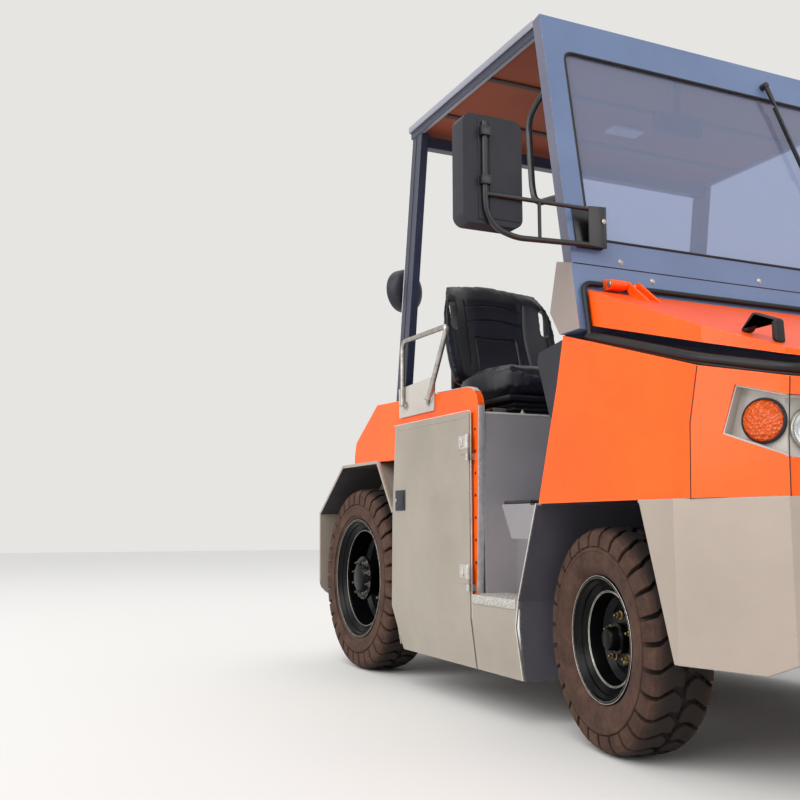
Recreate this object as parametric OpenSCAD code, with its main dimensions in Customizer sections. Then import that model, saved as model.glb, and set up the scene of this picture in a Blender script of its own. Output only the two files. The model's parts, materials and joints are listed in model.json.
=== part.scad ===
// Airport baggage tug: four wheels, open cab behind a windshield, hood in front, tow coupling behind.
// Millimetres, +Z up, the front faces -Y, the floor is z = 0.
// Side-view places are [d, z]: d is the distance rearward of the front axle.
// Plan places are [x, d] on the right side (-X), and the left side is their mirror image.

/* [Overall] */
// Width over the body sides
body_w = 1450; // [1360:10:1560]
// Distance between the axles
wheelbase = 1695; // [1680:5:1760]
// Front axle to the front of the bumper
front_overhang = 665; // [655:5:700]
// Rear axle to the end of the tow coupling
rear_overhang = 600; // [595:5:665]
// Height of the roof
roof_top_z = 2118; // [2100:2:2200]
// Height of the skirts and doors above the floor
skirt_z = 134; // [110:2:150]

/* [Wheels] */
// Radius of the front tyres
front_tyre_r = 291.5; // [285:0.5:295]
// Width of the front tyres
front_tyre_w = 182; // [160:1:186]
// Radius of the front rims at their flanges
front_rim_r = 164; // [150:1:175]
// Radius of the rear tyres
rear_tyre_r = 370; // [360:1:375]
// Width of the rear tyres
rear_tyre_w = 200; // [180:1:210]
// Radius of the rear rims at their flanges
rear_rim_r = 242; // [220:1:255]
// How far the tyres stand inside the body sides
tyre_inset = 18; // [15:1:40]
// How far the front wheels stand turned to the right, in degrees
steer_rest = 8.5; // [0:0.5:12]
// Thickness of the rim's rolled sheet
rim_t = 8; // [6:1:10]
// Radius of the front spindles
spindle_r = 22; // [18:1:26]
// Radius of the rear half shafts
half_shaft_r = 26; // [22:1:30]
// Radius of the kingpins
kingpin_r = 15; // [12:1:18]
// Distance of the kingpins inboard of the front tyres' outer faces
kingpin_inset = 170; // [165:1:175]

/* [Body] */
// Thickness of the body's sheet metal
sheet_t = 5; // [4:0.5:6]
// Thickness of the hollow side walls
wall_t = 26; // [24:1:30]
// Depth of the side walls behind the doors' faces
door_stack = 17; // [16:1:22]
// Depth of a door's folded rim
door_rim = 12; // [10:1:12]
// Height of the fold along the skirts and doors
crease_z = 288; // [270:2:300]
// How far the skirts lean in below the fold
skirt_lean = 20; // [10:1:30]
// Height of the cab floor
floor_z = 650; // [648:1:656]
// Height of the entry steps
step_z = 366; // [350:2:380]
// Width of the entry steps
step_w = 145; // [120:5:160]
// Height of the seat base
seat_base_z = 955; // [950:1:960]
// Place of the seat base's front wall
seat_wall_d = 636; // [634:1:640]
// Height of the bumper's top
bumper_top_z = 648; // [640:1:650]
// Height of the bumper's bottom
bumper_low_z = 271; // [250:5:290]
// Thickness of the bumper's plate
bumper_t = 8; // [6:1:10]

/* [Cab] */
// Lean of the windshield from upright, in degrees
ws_lean = 9.9; // [8:0.1:12]
// Depth of the windshield frame
ws_depth = 40; // [30:1:45]
// Width of the frame's side borders
ws_border = 76; // [70:2:90]
// Thickness of the glass
glass_t = 6; // [5:1:8]
// Height of the roof's rim
roof_h = 50; // [40:2:60]
// Width of the rear posts
post_w = 32; // [28:1:40]
// Depth of the rear posts
post_depth = 78; // [60:1:80]
// Distance of each seat's middle from the tug's middle
seat_x = 330; // [320:5:340]
// Width of the seats
seat_w = 470; // [440:10:500]
// Radius of the steering wheel
steer_r = 180; // [160:5:190]
// Lean of the steering column from upright, in degrees
steer_lean = 35; // [30:1:40]

/* [Chassis] */
// Height of the frame rails
rail_h = 120; // [100:5:120]
// Underside of the frame rails
rail_z = 445; // [445:1:450]
// Outer half width of the frame rails
rail_x = 310; // [290:5:312]
// Width of one frame rail
rail_w = 80; // [60:5:90]
// Radius of the hole for the tow pin
tow_pin_r = 20; // [16:1:25]
// Height of the tow coupling's middle
tow_z = 400; // [380:5:420]

/* [Hidden] */
$fn = 64;

body_x = body_w / 2;
tow_end_d = wheelbase + rear_overhang;
frame_end_d = wheelbase + 430;
front_axle_y = -(front_overhang + tow_end_d) / 2 + front_overhang;
tyre_x = body_x - tyre_inset;
kingpin_x = tyre_x - kingpin_inset;
wall_x = body_x - door_stack;
wall_in_x = wall_x - wall_t;
hood_in_x = body_x - sheet_t;
running_gap = 0.05;

// The side wall's outline, from its foot at the step over the top to the rear
wall_foot_d = 650;
wall_corner_d = 632;
wall_top_z = 1045;
wall_r = 72;
cab_rear_d = 1275;
wall_rear_top_z = 1071;
wall_bottom_z = crease_z + 14;
// The wheel arch's inner line, [d, z] with d counted from the rear axle
ARCH = [[-455, 150], [-395, 292], [-399, 634], [-249, 832], [121, 833], [403, 638], [392, 275]];
arch_clearance = 15;
arch_in_x = tyre_x - rear_tyre_w - arch_clearance;
arch_top_z = ARCH[4][1] + sheet_t + 0.1;
// The battery door's outline above and below its fold
door_front_d = 665;
DOOR = concat([[door_front_d, skirt_z], [door_front_d, 958]],
    on_axis([[-445, 966], [-418, 638], [-413, crease_z], [-478, skirt_z]], wheelbase));
hinge_r = 8;
hinge_x = body_x + hinge_r;
hinge_d = door_front_d - 5;
door_pin_r = 4;
DOOR_HINGES = [400, 820];
hood_low_z = bumper_top_z + 0.3;
// The hood's columns in plan and their three heights, from the rear edge round to the front
HOOD = [
    // [x, d] and z at the bottom, the fold and the top
    [[-body_x, 252, hood_low_z], [-body_x, 146, 978], [12 - body_x, 128, 1116]],
    [[-body_x, -383, hood_low_z], [-body_x, -390, 819], [12 - body_x, -407, 951]],
    [[75 - body_x, -602, hood_low_z], [75 - body_x, -606, 770], [85 - body_x, -608, 903]],
    [[225 - body_x, -655, hood_low_z], [225 - body_x, -655, 765], [230 - body_x, -652, 897]]];
ledge_w = 50;
gasket_in = 5;
gasket_w = 26;
gasket_h = 32;
corner_angle = 20.4;
front_angle = 70.5;

function fy(d) = front_axle_y + d;
function unit(v) = v / norm(v);
function side_normal(a, b) = let(u = unit(b - a)) [-u[1], u[0]];
function miter(p, i) =
    i == 0 ? side_normal(p[0], p[1])
    : i == len(p) - 1 ? side_normal(p[i - 1], p[i])
    : let(a = side_normal(p[i - 1], p[i]), b = side_normal(p[i], p[i + 1])) (a + b) / (1 + a * b);
function shifted(p, t) = [for (i = [0:len(p) - 1]) p[i] + t * miter(p, i)];
function backward(p) = [for (i = [len(p) - 1:-1:0]) p[i]];
// A bent sheet's cross-section: the line p thickened by t to its left
function strip(p, t) = concat(p, backward(shifted(p, t)));
function wall_line_z(d) =
    wall_top_z + (wall_rear_top_z - wall_top_z)
        * (d - wall_corner_d - wall_r) / (wheelbase - 226 - wall_corner_d - wall_r);
function on_axis(p, d) = [for (q = p) [q[0] + d, q[1]]];
function mirrored_path(p) = concat(p, [for (i = [len(p) - 1:-1:0]) [-p[i][0], p[i][1]]]);
function ws_d(z) = 65 + (z - 1311) * tan(ws_lean);
function ws_v(z) = (z - 1311) / cos(ws_lean);

module both_sides() {
    children();
    mirror([1, 0, 0]) children();
}

// A side-view outline [d, z] extruded from x0 to x1
module across(outline, x0, x1) {
    translate([x0, 0, 0]) rotate([90, 0, 90]) linear_extrude(x1 - x0)
        polygon([for (p = outline) [fy(p[0]), p[1]]]);
}

// A plan outline [x, d] extruded from z0 to z1
module upright(outline, z0, z1) {
    translate([0, 0, z0]) linear_extrude(z1 - z0) polygon([for (p = outline) [p[0], fy(p[1])]]);
}

// A box from low to high corner, with its middle places given as [x, d, z]
module box(low, high) {
    translate([low[0], fy(low[1]), low[2]]) cube(high - low);
}

// A cylinder along X
module rod_x(x0, x1, d, z, r) {
    translate([x0, fy(d), z]) rotate([0, 90, 0]) cylinder(h = x1 - x0, r = r);
}

// Solid through a row of equal rings of 3D points; the ring's first half faces its second half
module ring_loft(rings) {
    n = len(rings[0]);
    m = len(rings);
    h = n / 2;
    polyhedron(
        points = [for (ring = rings) for (p = ring) [p[0], fy(p[1]), p[2]]],
        faces = concat(
            [for (i = [0:m - 2]) for (j = [0:n - 1]) let(k = (j + 1) % n)
                each [[i * n + j, i * n + k, (i + 1) * n + k], [i * n + j, (i + 1) * n + k,
                    (i + 1) * n + j]]],
            [for (j = [0:h - 2]) each [[j, n - 1 - j, n - 2 - j], [j, n - 2 - j, j + 1]]],
            [for (j = [0:h - 2]) let(o = (m - 1) * n)
                each [[o + j, o + n - 2 - j, o + n - 1 - j], [o + j, o + j + 1, o + n - 2 - j]]]));
}

// Rings of a profile [inward, up] along a path of [x, d, z] points
function swept(path, profile) =
    let(plan = [for (p = path) [p[0], p[1]]])
    [for (i = [0:len(path) - 1]) let(n = miter(plan, i))
        [for (q = profile) [path[i][0] + q[0] * n[0], path[i][1] + q[0] * n[1], path[i][2] + q[1]]]];

// Wheels
front_recess = 15;
rear_recess = 9;
// One half of a tyre's section from the bead out, [radius, distance outward from the middle]
function tyre_half(r, w, rim_r, recess) = let(h = w / 2) [
    [rim_r - 14, h - recess - 20], [rim_r + 2, h - recess - 6], [rim_r + 9, h - recess + 1],
        [rim_r + 30, h - 1],
    [rim_r + 44, h], [0.82 * r, h - 1], [0.835 * r, h - 4], [r - 40, h - 5], [r - 20, h - 15],
        [r - 6, h - 32], [r, h - 55]];

module tyre(r, w, rim_r, recess) {
    half = tyre_half(r, w, rim_r, recess);
    color("dimgray") rotate([0, 90, 0]) rotate_extrude($fn = 96)
        polygon(concat(half, backward([for (p = half) [p[0], -p[1]]])));
}

// A rim whose +X side faces outboard: barrel, stepped ring, deep dish and hub, with round nuts on its bolt circle
module rim(w, rim_r, recess, lip_r, dish_x, hub_r, hub_in, hub_x, bore_r, bore_end, nuts, nut_circle) {
    seat_r = rim_r - 14;
    barrel_r = seat_r - rim_t;
    half = w / 2 - recess - 20;
    cap_x = hub_x - 20;
    color([0.08, 0.08, 0.09]) {
        rotate([0, 90, 0]) rotate_extrude($fn = 96) polygon([
            [barrel_r, -half], [seat_r, -half], [seat_r, half], [rim_r + 2, half + 14],
            [rim_r, half + 20], [rim_r - 8, half + 20], [rim_r - 12, half + 12], [barrel_r + 2, half + 4],
            [barrel_r, half - 2], [lip_r + 10, half - 16], [lip_r + 4, half - 10], [lip_r, half - 12],
            [lip_r - 2, half - 20], [lip_r - 8, dish_x + 20], [lip_r - 24, dish_x + rim_t],
                [hub_r - 1, dish_x + rim_t],
            [hub_r - 1, dish_x], [lip_r - 22, dish_x], [lip_r, dish_x + 16], [lip_r + 6, half - 22],
                [barrel_r, half - 12]]);
        difference() {
            rotate([0, 90, 0]) translate([0, 0, hub_in]) cylinder(h = cap_x - hub_in, r = hub_r);
            translate([hub_in - 1, 0, 0]) rotate([0, 90, 0]) cylinder(h = bore_end - hub_in + 1,
                r = bore_r);
        }
        translate([cap_x - 1, 0, 0]) rotate([0, 90, 0]) cylinder(h = hub_x - cap_x + 1, r1 = hub_r - 7,
            r2 = hub_r - 17);
        for (i = [0:nuts - 1]) rotate([i * 360 / nuts, 0, 0])
            translate([dish_x + rim_t - 1, 0, nut_circle]) rotate([0, 90, 0]) cylinder(h = 15, r = 9);
    }
}

front_wheel_x = tyre_x - front_tyre_w / 2;
rear_wheel_x = tyre_x - rear_tyre_w / 2;
spindle_end = 26;

// Everything that turns on a kingpin is made with the kingpin at the origin
module on_kingpin(side) {
    translate([side * kingpin_x, fy(0), front_tyre_r]) rotate([0, 0, -steer_rest])
        scale([side, 1, 1]) children();
}

module front_wheel_at(side) {
    on_kingpin(side) translate([front_wheel_x - kingpin_x, 0, 0]) children();
}

module rear_wheel_at(side) {
    translate([side * rear_wheel_x, fy(wheelbase), rear_tyre_r]) scale([side, 1, 1]) children();
}

module front_tyre() { tyre(front_tyre_r, front_tyre_w, front_rim_r, front_recess); }
module rear_tyre() { tyre(rear_tyre_r, rear_tyre_w, rear_rim_r, rear_recess); }
module front_rim() {
    rim(front_tyre_w, front_rim_r, front_recess, 120, -12, 40, -20, 50, spindle_r + running_gap,
        spindle_end, 5, 58);
}
module rear_rim() {
    rim(rear_tyre_w, rear_rim_r, rear_recess, 195, -40, 62, 24 - rear_tyre_w / 2, 12,
        half_shaft_r + running_gap, -10, 10, 80);
}

module tyre_front_left() { front_wheel_at(1) front_tyre(); }
module tyre_front_right() { front_wheel_at(-1) front_tyre(); }
module tyre_rear_left() { rear_wheel_at(1) rear_tyre(); }
module tyre_rear_right() { rear_wheel_at(-1) rear_tyre(); }
module rim_front_left() { front_wheel_at(1) front_rim(); }
module rim_front_right() { front_wheel_at(-1) front_rim(); }
module rim_rear_left() { rear_wheel_at(1) rear_rim(); }
module rim_rear_right() { rear_wheel_at(-1) rear_rim(); }

// Steering
eye_h = 90;
eye_r = 30;
eye_gap = 1;
fork_t = 26;
arm_d = 100;
arm_z = front_tyre_r - eye_h / 2 - eye_gap - fork_t;
ball_r = 7;
tie_h = 16;

// A knuckle at its own kingpin, with the wheel towards +X
module knuckle() {
    fork = eye_h / 2 + eye_gap;
    wheel_gap = kingpin_inset - front_tyre_w / 2;
    web = eye_r + 5;
    color("dimgray") {
        translate([0, 0, -fork - fork_t]) cylinder(h = 2 * (fork + fork_t), r = kingpin_r);
        for (low = [-fork - fork_t, fork]) {
            translate([0, 0, low]) cylinder(h = fork_t, r = eye_r);
            translate([0, -eye_r, low]) cube([web + 1, 2 * eye_r, fork_t]);
        }
        translate([web, -eye_r, -fork - fork_t]) cube([12, 2 * eye_r, 2 * (fork + fork_t)]);
        translate([web, 0, 0]) rotate([0, 90, 0]) cylinder(h = wheel_gap + spindle_end - 2 - web,
            r = spindle_r);
        translate([-12, 0, -fork - fork_t]) cube([24, arm_d, 16]);
        translate([0, arm_d, -fork - fork_t]) cylinder(h = 16, r = 15);
        translate([0, arm_d, -fork - fork_t - tie_h - 2]) cylinder(h = tie_h + 4, r = ball_r);
    }
}

module knuckle_left() { on_kingpin(1) knuckle(); }
module knuckle_right() { on_kingpin(-1) knuckle(); }

module tie_rod() {
    tie_low = arm_z - tie_h - 1;
    // The arms' ends swing sideways and forwards together
    swing = arm_d * [sin(steer_rest), cos(steer_rest) - 1, 0];
    color("dimgray") translate(swing) difference() {
        union() {
            rod_x(-kingpin_x + 12, kingpin_x - 12, arm_d, tie_low + tie_h / 2, tie_h / 2 - 1);
            for (side = [-1, 1]) translate([side * kingpin_x, fy(arm_d), tie_low]) cylinder(h = tie_h,
                r = 15);
        }
        for (side = [-1, 1])
            translate([side * kingpin_x, fy(arm_d), tie_low - 1]) cylinder(h = tie_h + 2,
                r = ball_r + running_gap);
    }
}

module front_axle() {
    color("dimgray") difference() {
        union() {
            box([-kingpin_x + 20, -38, front_tyre_r - 40], [kingpin_x - 20, 38, front_tyre_r + 40]);
            for (side = [-1, 1]) translate([side * kingpin_x, fy(0), front_tyre_r - eye_h / 2])
                cylinder(h = eye_h, r = eye_r);
            for (side = [-1, 1]) translate([side * (rail_x - rail_w / 2), fy(0), front_tyre_r + 39])
                translate([-35, -60, 0]) cube([70, 120, rail_z - front_tyre_r - 39]);
        }
        for (side = [-1, 1]) translate([side * kingpin_x, fy(0), front_tyre_r - eye_h / 2 - 1])
            cylinder(h = eye_h + 2, r = kingpin_r + running_gap);
    }
}

module rear_axle() {
    tube_r = 62;
    drum_r = 82;
    drum_in = 350;
    drum_out = rear_wheel_x - rear_tyre_w / 2 + 20;
    shaft_out = drum_out + 64;
    half = [[0, shaft_out], [half_shaft_r, shaft_out], [half_shaft_r, drum_out], [drum_r, drum_out],
        [drum_r, drum_in],
        [tube_r, drum_in], [tube_r, 150], [130, 70]];
    color("dimgray") {
        translate([0, fy(wheelbase), rear_tyre_r]) rotate([0, 90, 0])
            rotate_extrude() polygon(concat(half, backward([for (p = half) [p[0], -p[1]]])));
        translate([0, fy(wheelbase - 210), rear_tyre_r]) rotate([-90, 0, 0]) cylinder(h = 120, r = 60);
        for (side = [-1, 1]) translate([side * (rail_x - rail_w / 2) - 35, fy(wheelbase) - 60,
            rear_tyre_r + 20])
            cube([70, 120, rail_z - rear_tyre_r - 20]);
    }
}

module chassis_frame() {
    front_d = -front_overhang + bumper_t;
    rear_d = frame_end_d;
    color([0.15, 0.15, 0.16]) {
        for (side = [-1, 1]) translate([side > 0 ? rail_x - rail_w : -rail_x, fy(front_d), rail_z])
            cube([rail_w, rear_d - front_d, rail_h]);
        for (d = [-560, 420, wheelbase - 515, wheelbase + 330])
            box([-rail_x + 1, d, rail_z + 10], [rail_x - 1, d + 70, rail_z + rail_h - 10]);
        box([-rail_x, rear_d - 30, 300], [rail_x, rear_d, rail_z + 1]);
        // Outriggers: [d, length along the tug, reach]
        both_sides() for (o = [[420, 60, body_x - step_w - sheet_t], [wall_foot_d + 26, 28,
            wall_x - sheet_t], [wheelbase - 463, 28, wall_x - sheet_t]])
            box([rail_x - 1, o[0], rail_z + 20], [o[2], o[0] + o[1], rail_z + 80]);
    }
}

module battery_block() {
    color([0.2, 0.25, 0.3]) box([-515, 655, rail_z + rail_h], [515, wheelbase - 470, seat_base_z - 20]);
}

// Body
wall_outline = concat(
    [[wall_foot_d, step_z + 0.1], [wall_corner_d, 965]],
    [for (a = [10:20:90]) [wall_corner_d + wall_r * (1 - cos(a)), wall_top_z - wall_r * (1 - sin(a))]],
    on_axis([[-226, wall_rear_top_z], [-3, 934], [15, 880], [15, arch_top_z + 1],
        [-395, arch_top_z + 1], [-433, 640], [-433, wall_bottom_z]], wheelbase),
    [[wall_foot_d + 30, wall_bottom_z], [wall_foot_d + 30, step_z + 0.1]]);
DOOR_HOLE = concat([[715, 925], [715, 330]], on_axis([[-465, 330], [-465, 640], [-473, 925]], wheelbase));

module body_sides() {
    arch_hole = on_axis(shifted(ARCH, sheet_t + 0.5), wheelbase);
    color([1, 0.42, 0.12]) both_sides() difference() {
        across(wall_outline, -wall_x, -wall_in_x);
        across(concat([[wall_foot_d + 16, 200], [wall_foot_d - 8, 945], [720, 1024]],
            on_axis([[-255, 1030], [-35, 910], [-10, 820], [-445, 820], [-445, 200]], wheelbase)),
            -wall_x + sheet_t, -wall_in_x - sheet_t);
        across(concat([[wall_foot_d + 24, 200], [wall_foot_d + 24, 935]],
            on_axis([[-455, 935], [-395, 820], [-433, 200]], wheelbase)),
            -wall_x + sheet_t, -wall_in_x + 1);
        across(DOOR_HOLE, -wall_x - 1, -wall_in_x + 1);
        across(concat(arch_hole, [[wheelbase + 105, 200]]), -wall_x - 1, -wall_in_x + 1);
    }
}

module wheel_arches() {
    path = on_axis(ARCH, wheelbase);
    lip = [for (i = [2:len(path) - 1]) path[i]];
    flap_r = 70;
    flap_low = [-wall_x - 12 + flap_r, ARCH[6][1] + flap_r];
    color([0.66, 0.63, 0.59]) both_sides() {
        difference() {
            union() {
                across(strip(path, sheet_t), -wall_x, -arch_in_x);
                across(strip(lip, 12), -wall_x - 12, -wall_x);
            }
            // The mudguard's lower outer corner is round
            translate([0, fy(wheelbase + 450), 0]) rotate([90, 0, 0]) linear_extrude(200) difference() {
                translate([-wall_x - 20, ARCH[6][1] - 10]) square([20 - 12 + flap_r, 10 + flap_r]);
                translate(flap_low) circle(r = flap_r);
            }
        }
        difference() {
            across(shifted(path, 1), -arch_in_x - sheet_t, -arch_in_x);
            box([-arch_in_x - 20, wheelbase - 110, 100], [-arch_in_x + 20, wheelbase + 110, 560]);
        }
    }
}

module rear_body() {
    top = wall_line_z(1300) - 6;
    // The deck lies on the wheel arches
    deck = on_axis(shifted(ARCH, 2 * sheet_t + 0.1), wheelbase);
    line = [[cab_rear_d, seat_base_z - 5], [cab_rear_d, top], [wheelbase - 226, top], [wheelbase - 5, 925],
        [wheelbase + 17, deck[4][1]], deck[4], deck[5], [frame_end_d + sheet_t, deck[5][1] - 24],
            [frame_end_d + sheet_t, 420]];
    color([1, 0.42, 0.12]) {
        across(strip(line, -sheet_t), -wall_in_x, wall_in_x);
    }
}

module cab_floor() {
    notch_x = body_x - step_w;
    color([0.45, 0.46, 0.48]) {
        upright([[-notch_x, seat_wall_d], [-notch_x, 300], [-wall_x, 300], [-wall_x, 267], [wall_x, 267],
            [wall_x, 300], [notch_x, 300], [notch_x, seat_wall_d]], floor_z - sheet_t, floor_z);
        box([-wall_in_x, seat_wall_d - 1, rail_z + rail_h + 1], [wall_in_x, seat_wall_d + sheet_t,
            seat_base_z]);
        both_sides() box([-wall_in_x, seat_wall_d - 1, step_z], [-rail_x - 1, seat_wall_d + sheet_t,
            rail_z + rail_h + 2]);
        box([-wall_in_x, seat_wall_d, seat_base_z - sheet_t], [wall_in_x, cab_rear_d - sheet_t,
            seat_base_z]);
        both_sides() {
            across([[374, step_z], [seat_wall_d, step_z], [seat_wall_d, floor_z], [267, floor_z],
                [267, 645]],
                -notch_x, -notch_x + sheet_t);
            box([-body_x + 1, 300, floor_z - sheet_t], [-notch_x + 1, 458, floor_z]);
            side_tray();
        }
    }
}

// The tray under each end of the floor, open at its inboard side. It lies against the wheel house's rear wall.
function house_d(z) = 373 - 108 * (z - step_z) / (floor_z - step_z);
module side_tray() {
    t = 4;
    out = body_x - 1;
    top = floor_z - sheet_t;
    low = 548;
    difference() {
        across([[house_d(top) + 0.3, top], [house_d(low) + 0.3, low], [405, low], [458, top]], -out,
            -wall_x + 60);
        across([[house_d(floor_z) + t + 1, floor_z], [house_d(low) + t, low + t], [405 - t, low + t],
            [456 - t, floor_z]],
            -out + t, -wall_x + 61);
    }
}

module entry_steps() {
    tread_t = 25;
    notch_x = body_x - step_w;
    front = [[381, skirt_z], [387, crease_z], [370, step_z]];
    rear_d = door_front_d - 10;
    leaning = [[body_x, step_z], [body_x, crease_z], [body_x - skirt_lean, skirt_z]];
    color([0.66, 0.63, 0.59]) both_sides() {
        intersection() {
            translate([0, fy(rear_d), 0]) rotate([90, 0, 0]) linear_extrude(rear_d - 360)
                mirror([1, 0]) polygon(strip(leaning, -sheet_t));
            across(concat(front, [[rear_d, step_z], [rear_d, skirt_z]]), -body_x - 1, -body_x + 60);
        }
        box([-body_x, 385, step_z - tread_t], [-notch_x, rear_d, step_z]);
        box([-wall_x, rear_d - 1, step_z - tread_t], [-notch_x, wall_foot_d + 29, step_z]);
    }
}

module bumper_skin(z0, z1, t) {
    half = [[-body_x - 10, -205], [-body_x - 10, -334], [70 - body_x, -604], [220 - body_x,
        -front_overhang]];
    upright(strip(mirrored_path(half), t), z0, z1);
}

module front_bumper() {
    color([0.68, 0.65, 0.61]) {
        intersection() {
            bumper_skin(bumper_low_z, bumper_top_z, bumper_t);
            across([[-207, bumper_top_z], [-318, bumper_low_z], [-540, bumper_low_z],
                [-front_overhang - 1, 325],
                [-front_overhang - 1, bumper_top_z]], -body_x - 20, body_x + 20);
        }
        bumper_skin(bumper_top_z - bumper_t, bumper_top_z, 40);
    }
}

// The ledge under the lid starts in front of the cowl, on the side panel's top edge
ledge_start_d = 24;
hood_top = concat([[12 - body_x, ledge_start_d, 951 + (1116 - 951) * (ledge_start_d + 407) / (128 + 407)]],
    [for (i = [1:len(HOOD) - 1]) HOOD[i][2]]);
hood_ring_path = concat(hood_top, [for (i = [len(hood_top) - 1:-1:0]) [-hood_top[i][0], hood_top[i][1],
    hood_top[i][2]]]);
hood_columns = concat(HOOD, [for (i = [len(HOOD) - 1:-1:0]) [for (p = HOOD[i]) [-p[0], p[1], p[2]]]]);

module hood_ledge() {
    ring_loft(swept(hood_ring_path, [[1, -sheet_t], [1, 0], [ledge_w, 0], [ledge_w, -sheet_t]]));
}

module hood_body() {
    plan = [for (c = hood_columns) [c[0][0], c[0][1]]];
    rings = [for (i = [0:len(hood_columns) - 1]) let(n = miter(plan, i), c = hood_columns[i])
        concat(c, [for (j = [2:-1:0]) c[j] + sheet_t * [n[0], n[1], 0]])];
    color([1, 0.42, 0.12]) difference() {
        union() {
            ring_loft(rings);
            hood_ledge();
        }
        both_sides() pocket(0, 24);
    }
}

module hood_gasket() {
    rear_low = hood_top[0][2] + 1;
    rear_high = lid_hinge[2] + 12;
    seat = 0.2;
    rim_x = body_x - 12 - gasket_in;
    strip_w = 13;
    color([0.06, 0.06, 0.06]) {
        difference() {
            ring_loft(swept(hood_ring_path, [for (q = [[0, -2], [0, gasket_h - 11], [3, gasket_h - 3],
                [10, gasket_h],
                [gasket_w - 10, gasket_h], [gasket_w - 3, gasket_h - 3], [gasket_w, gasket_h - 11],
                    [gasket_w, -2]])
                [gasket_in + q[0], q[1]]]));
            translate([0, 0, seat]) hood_ledge();
        }
        ws_plane() difference() {
            union() {
                translate([-rim_x, ws_v(rear_high) - gasket_w, seat]) cube([2 * rim_x, gasket_w, 13]);
                for (x = [-rim_x, rim_x - strip_w])
                    translate([x, ws_v(rear_low), seat]) cube([strip_w, ws_v(rear_high) - ws_v(rear_low),
                        13]);
            }
            for (x = [-1, 1]) translate([x * lid_hinge[0] - 32, ws_v(rear_high) - 40, -1]) cube([64, 50,
                30]);
        }
    }
}

// Each side's lamp pocket wraps round the hood's front corner. Its corner face and its front face each have a frame
// with +X outward, +Y along the face towards the front's middle, and the lamp near the origin.
pocket_depth = 40;
tray_t = 3;
lamp_r = 48;
TURN_POCKET = [[-91, -18], [64, -78], [64, 56.5], [-59, 91]];
HEAD_POCKET = [[-83, -69.5], [72, -80], [66, 56], [-83, 64.5]];
TURN_LAMP = [-9, 8];
HEAD_LAMP = [-4, -8];
// The faces lean in above the hood's fold, in degrees
turn_face_lean = 4.2;
head_face_lean = 2.2;
face_fold = -36;

function inset(p, t) = let(n = len(p)) [for (i = [0:n - 1])
    let(a = side_normal(p[(i + n - 1) % n], p[i]), b = side_normal(p[i],
        p[(i + 1) % n])) p[i] + t * (a + b) / (1 + a * b)];
module turn_face() {
    translate([56 - body_x, fy(-549), 806]) rotate([0, 0, 180 + corner_angle]) children();
}
module head_face() {
    translate([150 - body_x, fy(-628), 800]) rotate([0, 0, 180 + front_angle]) children();
}

module pocket(margin, deep) {
    turn_face() translate([-deep, 0, 0]) rotate([90, 0, 90])
        linear_extrude(deep + 40) polygon(inset(TURN_POCKET, margin));
    head_face() translate([-deep, 0, 0]) rotate([90, 0, 90])
        linear_extrude(deep + 40) polygon(inset(HEAD_POCKET, margin));
}

// All that lies behind a face that leans in above its fold
module behind_face(lean) {
    translate([-1.5, 0, face_fold]) intersection() {
        translate([-300, -400, -400]) cube([300, 800, 800]);
        rotate([0, -lean, 0]) translate([-300, -400, -400]) cube([300, 800, 800]);
    }
}

module lamp_housings() {
    color([0.8, 0.78, 0.74]) both_sides() difference() {
        intersection() {
            pocket(0.5, pocket_depth + tray_t);
            turn_face() behind_face(turn_face_lean);
            head_face() behind_face(head_face_lean);
        }
        pocket(0.5 + tray_t, pocket_depth);
    }
}

module lamp_lens(at) {
    translate([-pocket_depth, at[0], at[1]]) rotate([0, 90, 0]) {
        cylinder(h = 14, r = lamp_r);
        translate([0, 0, 13]) cylinder(h = 8, r1 = lamp_r - 2, r2 = lamp_r - 12);
    }
}

module turn_lamps() { color("orange") both_sides() turn_face() lamp_lens(TURN_LAMP); }
module head_lamps() { color("white") both_sides() head_face() lamp_lens(HEAD_LAMP); }

module wheel_houses() {
    path = [[381, skirt_z], [house_d(step_z), step_z], [house_d(floor_z), floor_z], [250, floor_z + 10],
        [-300, floor_z + 10],
        [-345, floor_z - 30], [-345, 300]];
    inner = 330;
    color([0.2, 0.2, 0.21]) both_sides() {
        difference() {
            across(strip(path, sheet_t), -body_x, -inner);
            box([-body_x - 1, -400, 0], [-640, -200, floor_z + 20]);
            box([-body_x - 1, -201, 0], [-hood_in_x, 240, floor_z + 20]);
            box([-body_x - 1, 239, hood_low_z - 5], [-wall_x, 400, floor_z + 20]);
            // Room for the skirt, which leans in below its fold
            translate([0, fy(400), 0]) rotate([90, 0, 0]) linear_extrude(60) mirror([1, 0]) polygon([
                [body_x + 1, step_z + 0.1], [hood_in_x - 0.1, step_z + 0.1], [hood_in_x - 0.1, crease_z],
                [hood_in_x - 0.1 - skirt_lean, skirt_z], [hood_in_x - 0.1 - skirt_lean, 100],
                    [body_x + 1, 100]]);
        }
        difference() {
            across(path, -inner - 1, -inner + sheet_t - 1);
            box([-inner - 2, -90, 100], [-inner + 10, 150, rail_z + 1]);
        }
    }
}

// Cab
module cowl() {
    x = body_x - sheet_t;
    top = 1311;
    low = 1118;
    front = ws_d(low);
    gusset = [[ws_d(top), top], [135, 1330], [174, 1189], [128, low], [front, low]];
    color([0.42, 0.49, 0.6]) {
        both_sides() across(gusset, -x - sheet_t, -x);
        across([[ws_d(top), top], [front, low], [front + sheet_t, low], [ws_d(top) + sheet_t, top - 1]],
            -x - 1, x + 1);
        across([[front, low], [128, low], [128, low + sheet_t], [front + 1, low + sheet_t]], -x - 1, x + 1);
        across(strip([[122, low + 1], [258, 656]], sheet_t), -wall_x, wall_x);
    }
}

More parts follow.
